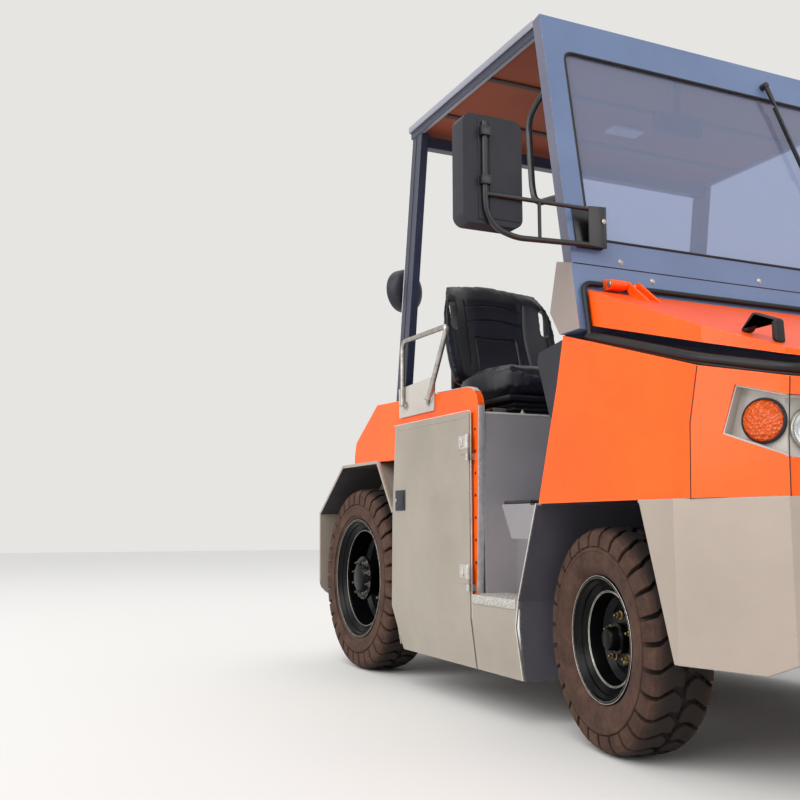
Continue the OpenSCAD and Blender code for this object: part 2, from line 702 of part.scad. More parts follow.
module ws_plane() {
    translate([0, fy(ws_d(1311)), 1311]) rotate([90 - ws_lean, 0, 0]) children();
}
ws_h = (roof_top_z - 1311) / cos(ws_lean);
glass_low = 82;
glass_high = ws_h - 116;

module ws_opening(grow) {
    r = 30 + grow;
    w = body_x - ws_border + grow - r;
    for (x = [-w, w], v = [glass_low - grow + r, glass_high + grow - r]) translate([x, v]) circle(r = r,
        $fn = 32);
    translate([-w - r, glass_low - grow + r]) square([2 * (w + r),
        glass_high - glass_low + 2 * grow - 2 * r]);
    translate([-w, glass_low - grow]) square([2 * w, glass_high - glass_low + 2 * grow]);
}

module windshield_frame() {
    color([0.42, 0.49, 0.6]) ws_plane() difference() {
        translate([-body_x + 5, 0, -ws_depth + 0.1]) cube([body_w - 10, ws_h, ws_depth - 0.1]);
        translate([0, 0, -ws_depth - 1]) linear_extrude(ws_depth + 2) ws_opening(0);
        translate([0, 0, -ws_depth - 1]) linear_extrude(ws_depth - 7) difference() {
            translate([-body_x + 12, -1]) square([body_w - 24, ws_h + 2]);
            for (x = [-1, 1]) translate([x * (body_x - 30) - 12, -2]) square([24, ws_h + 4]);
        }
        translate([0, 0, -8 - glass_t]) linear_extrude(glass_t + 0.6) ws_opening(20);
    }
}

module windshield_glass() {
    color([0.7, 0.85, 0.9, 0.4]) ws_plane() translate([0, 0, -8 - glass_t + 0.3]) linear_extrude(glass_t)
        ws_opening(18);
}

roof_rear_d = 1135;
rim_h = 26;
// The frame's rear face, which the roof's front end lies against
function ws_rear_d(z) = ws_d(z) + ws_depth / cos(ws_lean);
lining_front_d = ws_rear_d(roof_top_z) + 20;
module roof() {
    x = body_x - 3;
    z0 = roof_top_z - roof_h;
    color([0.6, 0.62, 0.66]) difference() {
        across([[ws_rear_d(z0), z0], [ws_rear_d(roof_top_z), roof_top_z], [roof_rear_d, roof_top_z],
            [roof_rear_d, z0]], -x, x);
        box([-x + 30, lining_front_d, z0 - 1], [x - 30, roof_rear_d - 30, roof_top_z - sheet_t]);
        both_sides() box([-x - 1, 100, z0 - 1], [-x + 10, roof_rear_d + 1, roof_top_z - rim_h]);
    }
}

module roof_lining() {
    x = body_x - 3 - 30;
    z0 = roof_top_z - roof_h;
    color([0.48, 0.25, 0.16])
        box([-x, lining_front_d, z0 + 12], [x, roof_rear_d - 30, z0 + 22]);
}

module rear_posts() {
    top_z = roof_top_z - roof_h;
    line = [[1205, wall_line_z(1205)], [1205 + post_depth, wall_line_z(1205 + post_depth)],
        [1050 + post_depth, top_z],
        [1050, top_z]];
    color([0.25, 0.28, 0.33]) both_sides() across(line, -wall_x + 1, -wall_x + 1 + post_w);
    color([0.25, 0.28, 0.33]) across([[1070, top_z - 45], [1110, top_z - 45], [1096, top_z - 5],
        [1062, top_z - 5]],
        -wall_x + 1 + post_w - 1, wall_x - post_w);
}

steer_hub = [seat_x, 405, 1170];
column_len = 240;
module steer_frame() {
    translate([steer_hub[0], fy(steer_hub[1]), steer_hub[2]]) rotate([-steer_lean, 0, 0]) children();
}

module dash() {
    color([0.12, 0.12, 0.13]) {
        across([[136, 1090], [136, 1117], [290, 1095], [300, 1070], [240, 900], [197.7, 880]], -690, 690);
        steer_frame() {
            translate([0, 0, -column_len]) cylinder(h = column_len - 12, r = 34);
            translate([0, 0, -20]) cylinder(h = 46, r = 9);
        }
    }
}

module steering_wheel() {
    color([0.08, 0.08, 0.08]) steer_frame() {
        difference() {
            translate([0, 0, -6]) cylinder(h = 46, r = 32);
            translate([0, 0, -7]) cylinder(h = 36, r = 9 + running_gap);
        }
        translate([0, 0, 30]) rotate_extrude($fn = 96) translate([steer_r - 14, 0]) circle(r = 14,
            $fn = 24);
        for (a = [90, 210, 330]) rotate([0, 0, a]) translate([20, -11, 22]) cube([steer_r - 36, 22, 12]);
    }
}

module pedals() {
    color([0.1, 0.1, 0.1]) for (x = [seat_x - 60, seat_x + 80]) {
        across([[210, 875], [232, 895], [330, 760], [322, 745]], x - 8, x + 8);
        across([[318, 770], [324, 774], [372, 700], [366, 696]], x - 32, x + 32);
    }
}

module seats() {
    cushion = [[690, 1045], [680, 1120], [700, 1150], [1080, 1135], [1130, 1160], [1205, 1500],
        [1235, 1545],
        [1268, 1540], [1262, 1490], [1190, 1075], [1160, 1045]];
    color([0.1, 0.1, 0.1]) for (side = [-1, 1]) {
        across(cushion, side * seat_x - seat_w / 2, side * seat_x + seat_w / 2);
        box([side * seat_x - 190, 720, seat_base_z], [side * seat_x + 190, 1120, 1046]);
    }
}

mirror_tube_d = ws_d(1390) - 22;
mirror_x = -1000;
// A straight tube between two [x, d, z] points, and a bent one with round elbows that stand out from it
module tube(a, b, r) {
    v = b - a;
    translate([a[0], fy(a[1]), a[2]]) rotate([0, acos(v[2] / norm(v)), atan2(v[1], v[0])])
        cylinder(h = norm(v), r = r, $fn = 24);
}
module bent_tube(path, r, elbow = 0.5) {
    for (i = [0:len(path) - 1]) {
        translate([path[i][0], fy(path[i][1]), path[i][2]]) sphere(r = r + elbow, $fn = 24);
        if (i < len(path) - 1) tube(path[i], path[i + 1], r);
    }
}

module mirror_arms() {
    d = mirror_tube_d;
    plate = [[d - 9, 1358], [ws_d(1358) - 0.3, 1358], [ws_d(1482) - 0.3, 1482], [d - 9, 1482]];
    color([0.08, 0.08, 0.08]) both_sides() {
        across(plate, -622, -615);
        across([[ws_d(1358) - 5, 1358], [ws_d(1358) - 0.3, 1358], [ws_d(1482) - 0.3, 1482],
            [ws_d(1482) - 5, 1482]], -700, -615);
        tube([-619, d, 1470], [mirror_x, d, 1466], 6);
        bent_tube([[-619, d, 1368], [-905, d, 1356], [-975, d, 1388], [mirror_x, d, 1450],
            [mirror_x, d, 1668]], 8);
        tube([-830, d, 1359], [-830, d, 1467], 5);
    }
}

// A block with rounded corners in front view: low and high corner as [x, z], and its depth from d0 to d1
module rounded_block(low, high, r, d0, d1) {
    translate([0, fy(d1), 0]) rotate([90, 0, 0]) linear_extrude(d1 - d0) {
        for (x = [low[0] + r, high[0] - r], z = [low[1] + r, high[1] - r]) translate([x, z]) circle(r = r,
            $fn = 32);
        translate([low[0] + r, low[1]]) square([high[0] - low[0] - 2 * r, high[1] - low[1]]);
        translate([low[0], low[1] + r]) square([high[0] - low[0], high[1] - low[1] - 2 * r]);
    }
}

module mirrors() {
    head_d = mirror_tube_d + 8.8;
    color([0.06, 0.06, 0.06]) {
        both_sides() rounded_block([mirror_x - 62, 1385], [mirror_x + 122, 1690], 28, head_d, head_d + 60);
        rounded_block([-240, 1860], [-50, 1925], 14, 266, 284);
        box([-155, 270, 1924], [-135, 282, roof_top_z - roof_h + 12]);
    }
}

// The grips behind the windshield's pillars
module cab_grips() {
    side = -body_x + 30;
    color([0.08, 0.08, 0.08]) both_sides() difference() {
        bent_tube([[side, ws_rear_d(1892) - 1, 1892], [side, 262, 1866], [side, 304, 1836],
            [side, 316, 1800],
            [side, 302, 1610], [side, 290, 1568], [side, 262, 1548], [side, ws_rear_d(1530) - 1, 1530]],
                10);
        ws_plane() translate([-body_x, 0, -ws_depth]) cube([body_w, ws_h, ws_depth]);
    }
}

module tail_lamps() {
    color("red") both_sides() box([-640, frame_end_d + sheet_t, 500], [-500, frame_end_d + 25, 580]);
}

// A loop on a plate on each side wall
module grab_handles() {
    plate_t = 8;
    x = -wall_x - plate_t - 8;
    color([0.8, 0.8, 0.8]) both_sides() {
        across([[942, 992], [1234, 992], [1240, 1106], [940, 1116]], -wall_x - plate_t, -wall_x);
        bent_tube([[x, 1185, 1030], [x, 1185, 1262], [x, 1172, 1282], [x, 840, 1276], [x, 824, 1262],
            [x, 832, 1248],
            [x, 965, 1030]], 8.5);
    }
}

// A round lamp behind each rear post, turned outwards, on a bar from the post's rear face
work_lamp = [-652, 1276, 1512];
lamp_turn = 25;
module work_lamps() {
    post_rear_d = 1205 + post_depth
        - 155 * (work_lamp[2] - wall_line_z(1205)) / (roof_top_z - roof_h - wall_line_z(1205));
    color([0.06, 0.06, 0.06]) both_sides() {
        translate([work_lamp[0], fy(work_lamp[1]), work_lamp[2]]) rotate([-90, 0, lamp_turn]) {
            cylinder(h = 50, r = 84);
            translate([0, 0, -22]) cylinder(h = 23, r1 = 44, r2 = 78);
        }
        box([-700, post_rear_d + 2, work_lamp[2] - 12], [-678, work_lamp[1] + 12, work_lamp[2] + 12]);
    }
}

module tow_coupling() {
    d0 = frame_end_d;
    color([0.1, 0.1, 0.1]) difference() {
        union() {
            box([-130, d0, tow_z - 110], [130, d0 + 20, tow_z + 20]);
            for (z = [tow_z - 110, tow_z - 45, tow_z]) box([-70, d0 + 19, z], [70, tow_end_d - 50, z + 20]);
            for (z = [tow_z - 110, tow_z - 45, tow_z]) translate([0, fy(tow_end_d - 70),
                z]) cylinder(h = 20, r = 70);
        }
        translate([0, fy(tow_end_d - 65), tow_z - 120]) cylinder(h = 150, r = tow_pin_r);
    }
}

// Moving covers
lid_hinge = [600, 22, 1250];
hinge_pin_r = 6;
LID_SIDE = [[21, 1126], [37, 1230], [-590, 968], [-622, 954], [-632, 942]];
LID_PLAN = [[35 - body_x, 60], [35 - body_x, -400], [100 - body_x, -585], [235 - body_x, -633]];
module lid_shape(side, plan) {
    intersection() {
        across(side, -700, 700);
        upright(mirrored_path(plan), 800, 1400);
    }
}

// Each hinge: a fixed lug on the cowl and, inboard of it, the lid's two ears on the same pin
lug_half = 26;
ear_t = 8;
EARS = [lug_half + 2, lug_half + 40];
module hood_lid() {
    t = 4;
    side_in = [[21 - t, 1096], [37 - t, 1230 - t - 2], [-590 + t, 968 - t], [-622 + t, 954 - t],
        [-632 + t, 942 - t], [-632 + t, 900]];
    plan_in = [for (p = LID_PLAN) [p[0] + t, p[1] + (p[1] < 0 ? t : 0)]];
    color([1, 0.42, 0.12]) difference() {
        union() {
            difference() {
                lid_shape(LID_SIDE, LID_PLAN);
                lid_shape(side_in, plan_in);
            }
            both_sides() for (e = EARS) {
                x = e - lid_hinge[0];
                across([[lid_hinge[1] + 9, lid_hinge[2] + 8], [lid_hinge[1] - 9, lid_hinge[2] + 8],
                    [-75, 1184], [4, 1214]],
                    x, x + ear_t);
                rod_x(x, x + ear_t, lid_hinge[1], lid_hinge[2], 12);
            }
        }
        rod_x(-body_x, body_x, lid_hinge[1], lid_hinge[2], hinge_pin_r + running_gap);
    }
}

module hood_hinges() {
    h = lid_hinge;
    color([1, 0.42, 0.12]) both_sides() {
        rod_x(-h[0] - lug_half, EARS[1] + ear_t + 4 - h[0], h[1], h[2], hinge_pin_r);
        rod_x(-h[0] - lug_half, -h[0] + lug_half, h[1], h[2], 13);
        across([[h[1], h[2] + 13], [h[1], h[2] - 13], [ws_d(h[2] - 15) - 0.3, h[2] - 15],
            [ws_d(h[2] + 19) - 0.3, h[2] + 19]],
            -h[0] - lug_half, -h[0] + lug_half);
    }
}

// The lid's handle: a flat bar bent to three sides, on the lid's top near its right edge
lid_slope = 22.67;
module hood_handle() {
    long = 126;
    tall = 40;
    color([0.06, 0.06, 0.06]) translate([-585, fy(-424), 1230 - (37 + 424) * tan(lid_slope) + 0.4])
        rotate([lid_slope, 0, 0]) rotate([90, 0, 90]) linear_extrude(26, center = true)
            polygon([[0, 0], [-22, 0], [-38, tall], [-long + 38, tall], [-long + 22, 0], [-long, 0],
                [-long + 24, tall + 10], [-24, tall + 10]]);
}

module battery_door(side) {
    leaning = [[body_x, 980], [body_x, crease_z], [body_x - skirt_lean, skirt_z - 1]];
    inner = [for (p = DOOR) [p[0] + (p[0] > 900 ? -6 : 6), p[1] + (p[1] > 900 ? -6 : p[1] < 200 ? 6 : 0)]];
    color([0.66, 0.63, 0.59]) scale([side, 1, 1]) {
        difference() {
            intersection() {
                translate([0, fy(1300), 0]) rotate([90, 0, 0]) linear_extrude(700) polygon(strip(leaning,
                    -door_rim));
                mirror([1, 0, 0]) across(DOOR, -body_x - 1, -body_x + 60);
            }
            intersection() {
                translate([-4, fy(1300), 0]) rotate([90, 0, 0]) linear_extrude(700)
                    polygon(strip(leaning, -door_rim - 10));
                mirror([1, 0, 0]) across(inner, -body_x - 1, -body_x + 60);
            }
        }
        for (z = DOOR_HINGES) difference() {
            union() {
                translate([hinge_x, fy(hinge_d), z]) cylinder(h = 40, r = hinge_r);
                translate([body_x - 1, fy(hinge_d), z]) cube([4, 60, 40]);
            }
            translate([hinge_x, fy(hinge_d), z - 1]) cylinder(h = 42, r = door_pin_r + running_gap);
        }
    }
}

// The doors' fixed hinge halves, each with its pin standing through the door's barrel
module door_hinges() {
    color([0.6, 0.6, 0.58]) both_sides() for (z = DOOR_HINGES) {
        translate([-hinge_x, fy(hinge_d), z - 22]) cylinder(h = 21, r = hinge_r);
        translate([-hinge_x, fy(hinge_d), z - 22]) cylinder(h = 66, r = door_pin_r);
        box([-hinge_x, hinge_d - 8, z - 22], [-wall_x, hinge_d - 3, z - 1]);
    }
}

module battery_door_left() { battery_door(1); }
module battery_door_right() { battery_door(-1); }

wiper_x = 150;
wiper_v = glass_high + 42;
module wiper() {
    color([0.05, 0.05, 0.05]) ws_plane() translate([wiper_x, wiper_v, 0]) rotate([0, 0, 18]) {
        translate([0, 0, 0.3]) cylinder(h = 26, r = 11);
        translate([-6, -330, 14]) cube([12, 330, 8]);
        translate([-6, -560, 5.5]) cube([12, 480, 9]);
    }
}

chassis_frame();
front_axle();
rear_axle();
battery_block();
body_sides();
wheel_arches();
rear_body();
cab_floor();
entry_steps();
front_bumper();
hood_body();
wheel_houses();
hood_gasket();
cowl();
windshield_frame();
windshield_glass();
roof();
roof_lining();
rear_posts();
dash();
pedals();
seats();
mirror_arms();
mirrors();
lamp_housings();
head_lamps();
turn_lamps();
tail_lamps();
grab_handles();
cab_grips();
work_lamps();
tow_coupling();
knuckle_left();
knuckle_right();
tie_rod();
tyre_front_left();
tyre_front_right();
tyre_rear_left();
tyre_rear_right();
rim_front_left();
rim_front_right();
rim_rear_left();
rim_rear_right();
steering_wheel();
hood_hinges();
hood_lid();
hood_handle();
door_hinges();
battery_door_left();
battery_door_right();
wiper();
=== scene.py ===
import json
import math

import bpy
from mathutils import Matrix, Vector


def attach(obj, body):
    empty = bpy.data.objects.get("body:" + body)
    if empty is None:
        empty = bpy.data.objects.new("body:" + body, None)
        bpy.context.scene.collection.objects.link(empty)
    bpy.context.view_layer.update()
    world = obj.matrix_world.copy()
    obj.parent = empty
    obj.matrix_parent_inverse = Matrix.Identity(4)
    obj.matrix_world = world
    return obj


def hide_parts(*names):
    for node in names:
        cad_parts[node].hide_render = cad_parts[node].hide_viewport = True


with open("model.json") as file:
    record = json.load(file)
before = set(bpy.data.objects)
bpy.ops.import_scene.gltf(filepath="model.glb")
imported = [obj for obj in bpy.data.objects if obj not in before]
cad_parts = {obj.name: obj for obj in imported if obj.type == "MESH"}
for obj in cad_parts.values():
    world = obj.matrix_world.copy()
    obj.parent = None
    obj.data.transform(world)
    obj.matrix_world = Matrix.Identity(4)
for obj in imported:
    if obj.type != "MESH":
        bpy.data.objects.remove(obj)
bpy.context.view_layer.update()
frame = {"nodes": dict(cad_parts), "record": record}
nodes = frame["nodes"]
bodyOf = {name: body for body, names in frame["record"]["behaviour"]["bodies"].items() for name in names}
slotOf = {part["node"]: part["material_slot"] for part in frame["record"]["subparts"]}

# metres; places in the code are [x, d, z] in millimetres, with d measured rearward of the front axle
tug = {"frontAxleY": -0.815, "wheelbase": 1.695}
sides = ((-1, "right"), (1, "left"))


def place(x, d, z):
    return Vector((x / 1000, tug["frontAxleY"] + d / 1000, z / 1000))


# A [x, d, z] place as a world vector; a vector stays as it is
def spotOf(point):
    return point if isinstance(point, Vector) else place(*point)


def toLinear(code):
    values = [int(code[i:i + 2], 16) / 255 for i in (0, 2, 4)]
    return tuple(v / 12.92 if v <= 0.04045 else ((v + 0.055) / 1.055) ** 2.4 for v in values) + (1.0,)


# The camera stands where the photograph's was
camera = {"place": (-2.241, -2.9327, 0.585), "pitch": 97.416, "turn": -24.507, "lens": 43.56, "film": 36, "reach": 60}
bpy.ops.object.camera_add(location=camera["place"],
                          rotation=(math.radians(camera["pitch"]), 0, math.radians(camera["turn"])))
photoCamera = bpy.context.object
photoCamera.name = "photoCamera"
photoCamera.data.lens = camera["lens"]
photoCamera.data.sensor_width = camera["film"]
photoCamera.data.clip_end = camera["reach"]
bpy.context.scene.camera = photoCamera
bpy.context.scene.view_settings.view_transform = "Standard"
print("camera placed")


def addNode(material, kind, settings=None, links=None):
    node = material.node_tree.nodes.new("ShaderNode" + kind)
    for key, value in (settings or {}).items():
        if isinstance(key, int) or key in node.inputs:
            node.inputs[key].default_value = value
        else:
            setattr(node, key, value)
    for key, (source, output) in (links or {}).items():
        material.node_tree.links.new(source.outputs[output], node.inputs[key])
    return node


def newMaterial(name, shaderSettings):
    material = bpy.data.materials.new(name)
    material.use_nodes = True
    material.node_tree.nodes.clear()
    shader = addNode(material, "BsdfPrincipled", shaderSettings)
    addNode(material, "OutputMaterial", links={"Surface": (shader, 0)})
    return material, shader, addNode(material, "TexCoord")


def linkInput(material, source, output, shader, name):
    material.node_tree.links.new(source.outputs[output], shader.inputs[name])


def rampNode(material, source, output, stops):
    ramp = addNode(material, "ValToRGB", links={0: (source, output)})
    for element, (position, colour) in zip(ramp.color_ramp.elements, stops):
        element.position = position
        element.color = toLinear(colour) if isinstance(colour, str) else (colour, colour, colour, 1.0)
    return ramp


def noiseNode(material, spot, scale, detail, roughness=0.5):
    return addNode(material, "TexNoise", {"Scale": scale, "Detail": detail, "Roughness": roughness},
                   {"Vector": (spot, "Object")})


# The first colour where the factor is 0, the second where it is 1; each is a code or a node's output
def mixColours(material, factor, first, second):
    mix = addNode(material, "Mix", {"data_type": "RGBA"}, {0: factor})
    for socket, colour in ((6, first), (7, second)):
        if isinstance(colour, str):
            mix.inputs[socket].default_value = toLinear(colour)
        else:
            material.node_tree.links.new(colour[0].outputs[colour[1]], mix.inputs[socket])
    return mix


def mathNode(material, operation, first, second):
    links, settings = {0: first}, {"operation": operation}
    (links if isinstance(second, tuple) else settings)[1] = second
    return addNode(material, "Math", settings, links)


def addBump(material, shader, height, strength, distance):
    bump = addNode(material, "Bump", {"Strength": strength, "Distance": distance}, {"Height": height})
    linkInput(material, bump, 0, shader, "Normal")
    return bump


# Two-pack enamel on sheet steel: smooth gloss, faint orange peel, dust that gathers low,
# fine chips that show a paler edge
def sprayedEnamel(name, colour, shade, roughness, coat, dustAmount, wear, extras):
    look = {"dust": "a39a8c", "chip": "b9b4aa", "metallic": 0.0, "shine": 0.5, "peel": 0.08, **extras}
    material, shader, spot = newMaterial(name, {
        "Metallic": look["metallic"], "Roughness": roughness, "Coat Weight": coat, "Coat Roughness": 0.12,
        "Specular IOR Level": look["shine"]})
    # fading in patches about 300 mm across
    tone = rampNode(material, noiseNode(material, spot, 3.2, 5.0, 0.6), "Fac", [(0.32, shade), (0.68, colour)])
    # dust in clouds of 40 mm with 2 mm grain, thicker near the ground
    clouds = rampNode(material, noiseNode(material, spot, 22.0, 8.0, 0.72), "Fac", [(0.38, 0), (0.72, 1)])
    height = addNode(material, "SeparateXYZ", links={0: (spot, "Object")})
    low = addNode(material, "MapRange", {1: 0.1, 2: 1.15, 3: 0.75, 4: 0.12}, {0: (height, "Z")})
    dustMask = mathNode(material, "MULTIPLY", (clouds, 0), (low, 0))
    dustLevel = mathNode(material, "MULTIPLY", (dustMask, 0), dustAmount)
    dusty = mixColours(material, (dustLevel, 0), (tone, 0), look["dust"])
    # worn edges: where a rounded normal leaves the flat one, broken up by a 6 mm grain
    roundNormal = addNode(material, "Bevel", {"samples": 4, "Radius": 0.005})
    flat = addNode(material, "NewGeometry")
    bend = addNode(material, "VectorMath", {"operation": "DOT_PRODUCT"}, {0: (roundNormal, 0), 1: (flat, "Normal")})
    edge = addNode(material, "MapRange", {1: 0.985, 2: 0.86, 3: 0.0, 4: 1.0}, {0: (bend, "Value")})
    broken = rampNode(material, noiseNode(material, spot, 160.0, 4.0), "Fac", [(0.52, 0), (0.60, 1)])
    worn = mathNode(material, "MULTIPLY", (edge, 0), (broken, 0))
    wornLevel = mathNode(material, "MULTIPLY", (worn, 0), wear)
    final = mixColours(material, (wornLevel, 0), (dusty, 2), look["chip"])
    linkInput(material, final, 2, shader, "Base Color")
    rough = addNode(material, "MapRange", {3: roughness, 4: min(0.95, roughness + 0.4)}, {0: (dustLevel, 0)})
    linkInput(material, rough, 0, shader, "Roughness")
    bump = addBump(material, shader, (noiseNode(material, spot, 380.0, 2.0), "Fac"), look["peel"], 0.0006)
    linkInput(material, bump, 0, shader, "Coat Normal")
    return material


# Moulded rubber and plastic: matt, faintly mottled, with a bloom of pale dust in its pits
def mouldedRubber(name, colour, dust, dustAmount, roughness, grainScale=240.0, bumpSize=0.0008):
    material, shader, spot = newMaterial(name, {"Roughness": roughness, "Specular IOR Level": 0.35})
    mask = rampNode(material, noiseNode(material, spot, 14.0, 9.0, 0.7), "Fac", [(0.35, 0), (0.75, 1)])
    level = mathNode(material, "MULTIPLY", (mask, 0), dustAmount)
    linkInput(material, mixColours(material, (level, 0), colour, dust), 2, shader, "Base Color")
    addBump(material, shader, (noiseNode(material, spot, grainScale, 3.0), "Fac"), 0.3, bumpSize)
    return material


# Bare or plated steel with dull oxide clouds
def platedSteel(name, colour, shade, roughness=0.34, metallic=1.0):
    material, shader, spot = newMaterial(name, {"Metallic": metallic, "Roughness": roughness})
    clouds = noiseNode(material, spot, 45.0, 8.0, 0.7)
    linkInput(material, rampNode(material, clouds, "Fac", [(0.35, shade), (0.65, colour)]), 0, shader, "Base Color")
    rough = addNode(material, "MapRange", {3: roughness - 0.08, 4: roughness + 0.25}, {0: (clouds, "Fac")})
    linkInput(material, rough, 0, shader, "Roughness")
    return material


# Moulded lens plastic: prisms of about 5 mm on its face break the light up
def lensMaterial(name, colour, weight):
    material, shader, spot = newMaterial(name, {"Base Color": toLinear(colour), "Roughness": 0.08, "IOR": 1.49,
                                                "Transmission Weight": weight})
    prisms = addNode(material, "TexVoronoi", {"Scale": 130.0}, {"Vector": (spot, "Object")})
    addBump(material, shader, (prisms, "Distance"), 1.0, 0.005)
    return material


# Clear glass; a weight under 1 leaves a film of road dust that takes some of the sky's light itself; on the windows its
# pale blue is partly painted reflection of the sky
def glassMaterial(name, colour, roughness, weight):
    return newMaterial(name, {"Base Color": toLinear(colour), "Roughness": roughness, "IOR": 1.5,
                              "Transmission Weight": weight})[0]


# Tyre rubber: brown road dust on the sidewall; greyer and darker where the tread rolls and in the grooves, partly worn
# rubber and partly painted shade
def tyreRubberMaterial(name, side, sideDust, treadWearAndShade):
    material, shader, spot = newMaterial(name, {"Roughness": 0.85, "Specular IOR Level": 0.3})
    mask = rampNode(material, noiseNode(material, spot, 16.0, 9.0, 0.72), "Fac", [(0.36, 0), (0.66, 1)])
    brown = mixColours(material, (mask, 0), side, sideDust)
    rolledAndShaded = addNode(material, "Attribute", {"attribute_name": "tread"})
    linkInput(material, mixColours(material, (rolledAndShaded, "Fac"), (brown, 2), treadWearAndShade), 2, shader, "Base Color")
    addBump(material, shader, (noiseNode(material, spot, 260.0, 4.0), "Fac"), 0.35, 0.0009)
    return material


# Coarse grip grit rolled into paint on the step treads; the real grains are 3 mm, drawn at 7 mm so that they show
def gritMaterial(name, paint, stone):
    material, shader, spot = newMaterial(name, {"Roughness": 0.8, "Specular IOR Level": 0.4})
    grit = addNode(material, "TexVoronoi", {"Scale": 150.0}, {"Vector": (spot, "Object")})
    mask = rampNode(material, grit, "Distance", [(0.25, 1), (0.55, 0)])
    linkInput(material, mixColours(material, (mask, 0), paint, stone), 2, shader, "Base Color")
    addBump(material, shader, (mask, 0), 0.7, 0.0012)
    return material


# Rubber matting with fine ribs 4 mm apart across the tug and dust between them
def ribbedRubberMaterial(name, colour, dust):
    material, shader, spot = newMaterial(name, {"Roughness": 0.7, "Specular IOR Level": 0.4})
    ribs = addNode(material, "TexWave", {"wave_type": "BANDS", "bands_direction": "X", "Scale": 78.0,
                                         "Distortion": 0.0}, {"Vector": (spot, "Object")})
    mask = rampNode(material, noiseNode(material, spot, 18.0, 8.0, 0.7), "Fac", [(0.4, 0.08), (0.75, 0.6)])
    linkInput(material, mixColours(material, (mask, 0), colour, dust), 2, shader, "Base Color")
    addBump(material, shader, (ribs, "Fac"), 0.5, 0.001)
    return material


enamels = {
    # name: colour, shade, roughness, coat, dust amount, wear, what else differs
    "orangeEnamel": ("ff5f04", "fd5301", 0.36, 0.06, 0.06, 0.35, {"shine": 0.35, "dust": "dd8a55", "chip": "ffb27d"}),
    "greyEnamel": ("a39a8e", "958c80", 0.4, 0.1, 0.3, 0.5, {"chip": "e2ddd3", "metallic": 0.25}),
    "bumperEnamel": ("a7998d", "9c8f83", 0.42, 0.1, 0.25, 0.5, {"chip": "e2dacf", "metallic": 0.2}),
    "slateEnamel": ("667a9f", "5d7094", 0.36, 0.15, 0.12, 0.45, {"dust": "8c93a3", "chip": "aab4c6"}),
    # painted light: the duller grey that the frame's slate sides show in the light
    "sideSlate": ("5f6072", "55566a", 0.4, 0.1, 0.12, 0.5, {"chip": "b0b2bc"}),
    "houseSlate": ("5a5862", "4e4c56", 0.45, 0.05, 0.3, 0.5, {"dust": "6a605a", "chip": "b5b2b0"}),
    "postEnamel": ("2b2f44", "24283b", 0.4, 0.1, 0.1, 0.5, {"chip": "8f95a6"}),
    "roofEnamel": ("8e8f9c", "82838f", 0.4, 0.15, 0.2, 0.5, {"chip": "d5d2d2"}),
    "entryGrey": ("99959a", "8b868a", 0.36, 0.1, 0.25, 0.6, {"chip": "d8d6d4", "metallic": 0.45}),
    # painted light: a paler copy of the entry grey for the seat box's shaded front wall
    "seatBoxGrey": ("b9b3b5", "aaa4a7", 0.33, 0.15, 0.2, 0.6, {"chip": "e2dfdc", "metallic": 0.35}),
    # painted reflection: the warm grey on the cowl's slate side ears
    "flangeBeige": ("93857e", "887b75", 0.4, 0.1, 0.2, 0.4, {}),
    "lampPlate": ("bdb6ae", "b0a9a1", 0.4, 0.15, 0.2, 0.4, {}),
    "chassisBlack": ("2b2a2a", "211f1f", 0.55, 0.0, 0.7, 0.4, {"dust": "6b5f52", "chip": "6f6a62"}),
    "innerSheet": ("35343a", "2a292e", 0.6, 0.0, 0.6, 0.3, {"dust": "6e6357"}),
    "rimGloss": ("050507", "030304", 0.3, 0.0, 0.02, 0.2, {"shine": 0.14, "dust": "3a302a", "chip": "8d8880"}),
    "blackMetal": ("121216", "0c0c10", 0.36, 0.15, 0.12, 0.25, {"dust": "3a3738", "chip": "6f6b68"}),
    "liningBoard": ("96482a", "843d23", 0.75, 0.0, 0.1, 0.1, {"dust": "8d5a40", "peel": 0.04}),
    "liningTrim": ("43281e", "38211a", 0.6, 0.0, 0.2, 0.2, {}),
}
rubbers = {
    # name: colour, dust, dust amount, roughness, grain's scale, bump's height in metres
    "sealRubber": ("131314", "3a3633", 0.3, 0.55),
    "gasketRubber": ("0e0e12", "2b2928", 0.25, 0.42, 300.0, 0.0004),
    "blackPlastic": ("1b1c26", "3f4048", 0.18, 0.5, 900.0, 0.0003),
    "seatVinyl": ("15161e", "2c2d36", 0.3, 0.42, 520.0, 0.0005),
    "frostedBulb": ("d8d5cc", "b9b5aa", 0.3, 0.4),
    "dialWhite": ("e5e2da", "c9c5bb", 0.2, 0.5),
}
metals = {
    # name: colour, shade, roughness, how metallic under its dust
    "zincSteel": ("c9c6bf", "9e9a92"),
    "yellowZinc": ("9a8458", "6e5d3c", 0.4),
    "hubStud": ("7d7a76", "5b5854", 0.42),
    "hingeZinc": ("cfcac4", "aaa59f", 0.42, 0.5),
    "satinSteel": ("bdbab4", "98948d", 0.3),
    # bare worn rim edges, partly painted highlight
    "wornEdge": ("d9d6cf", "b2aca2", 0.38),
    # painted highlight: a pale metal laid in lines along edges where they catch the light
    "brightEdge": ("dcd8d2", "c4bfb9", 0.4, 0.3),
    "brushedAluminium": ("d2d0d0", "bab8b9", 0.42, 0.55),
    "mirrorChrome": ("eceded", "dcdddd", 0.09),
}
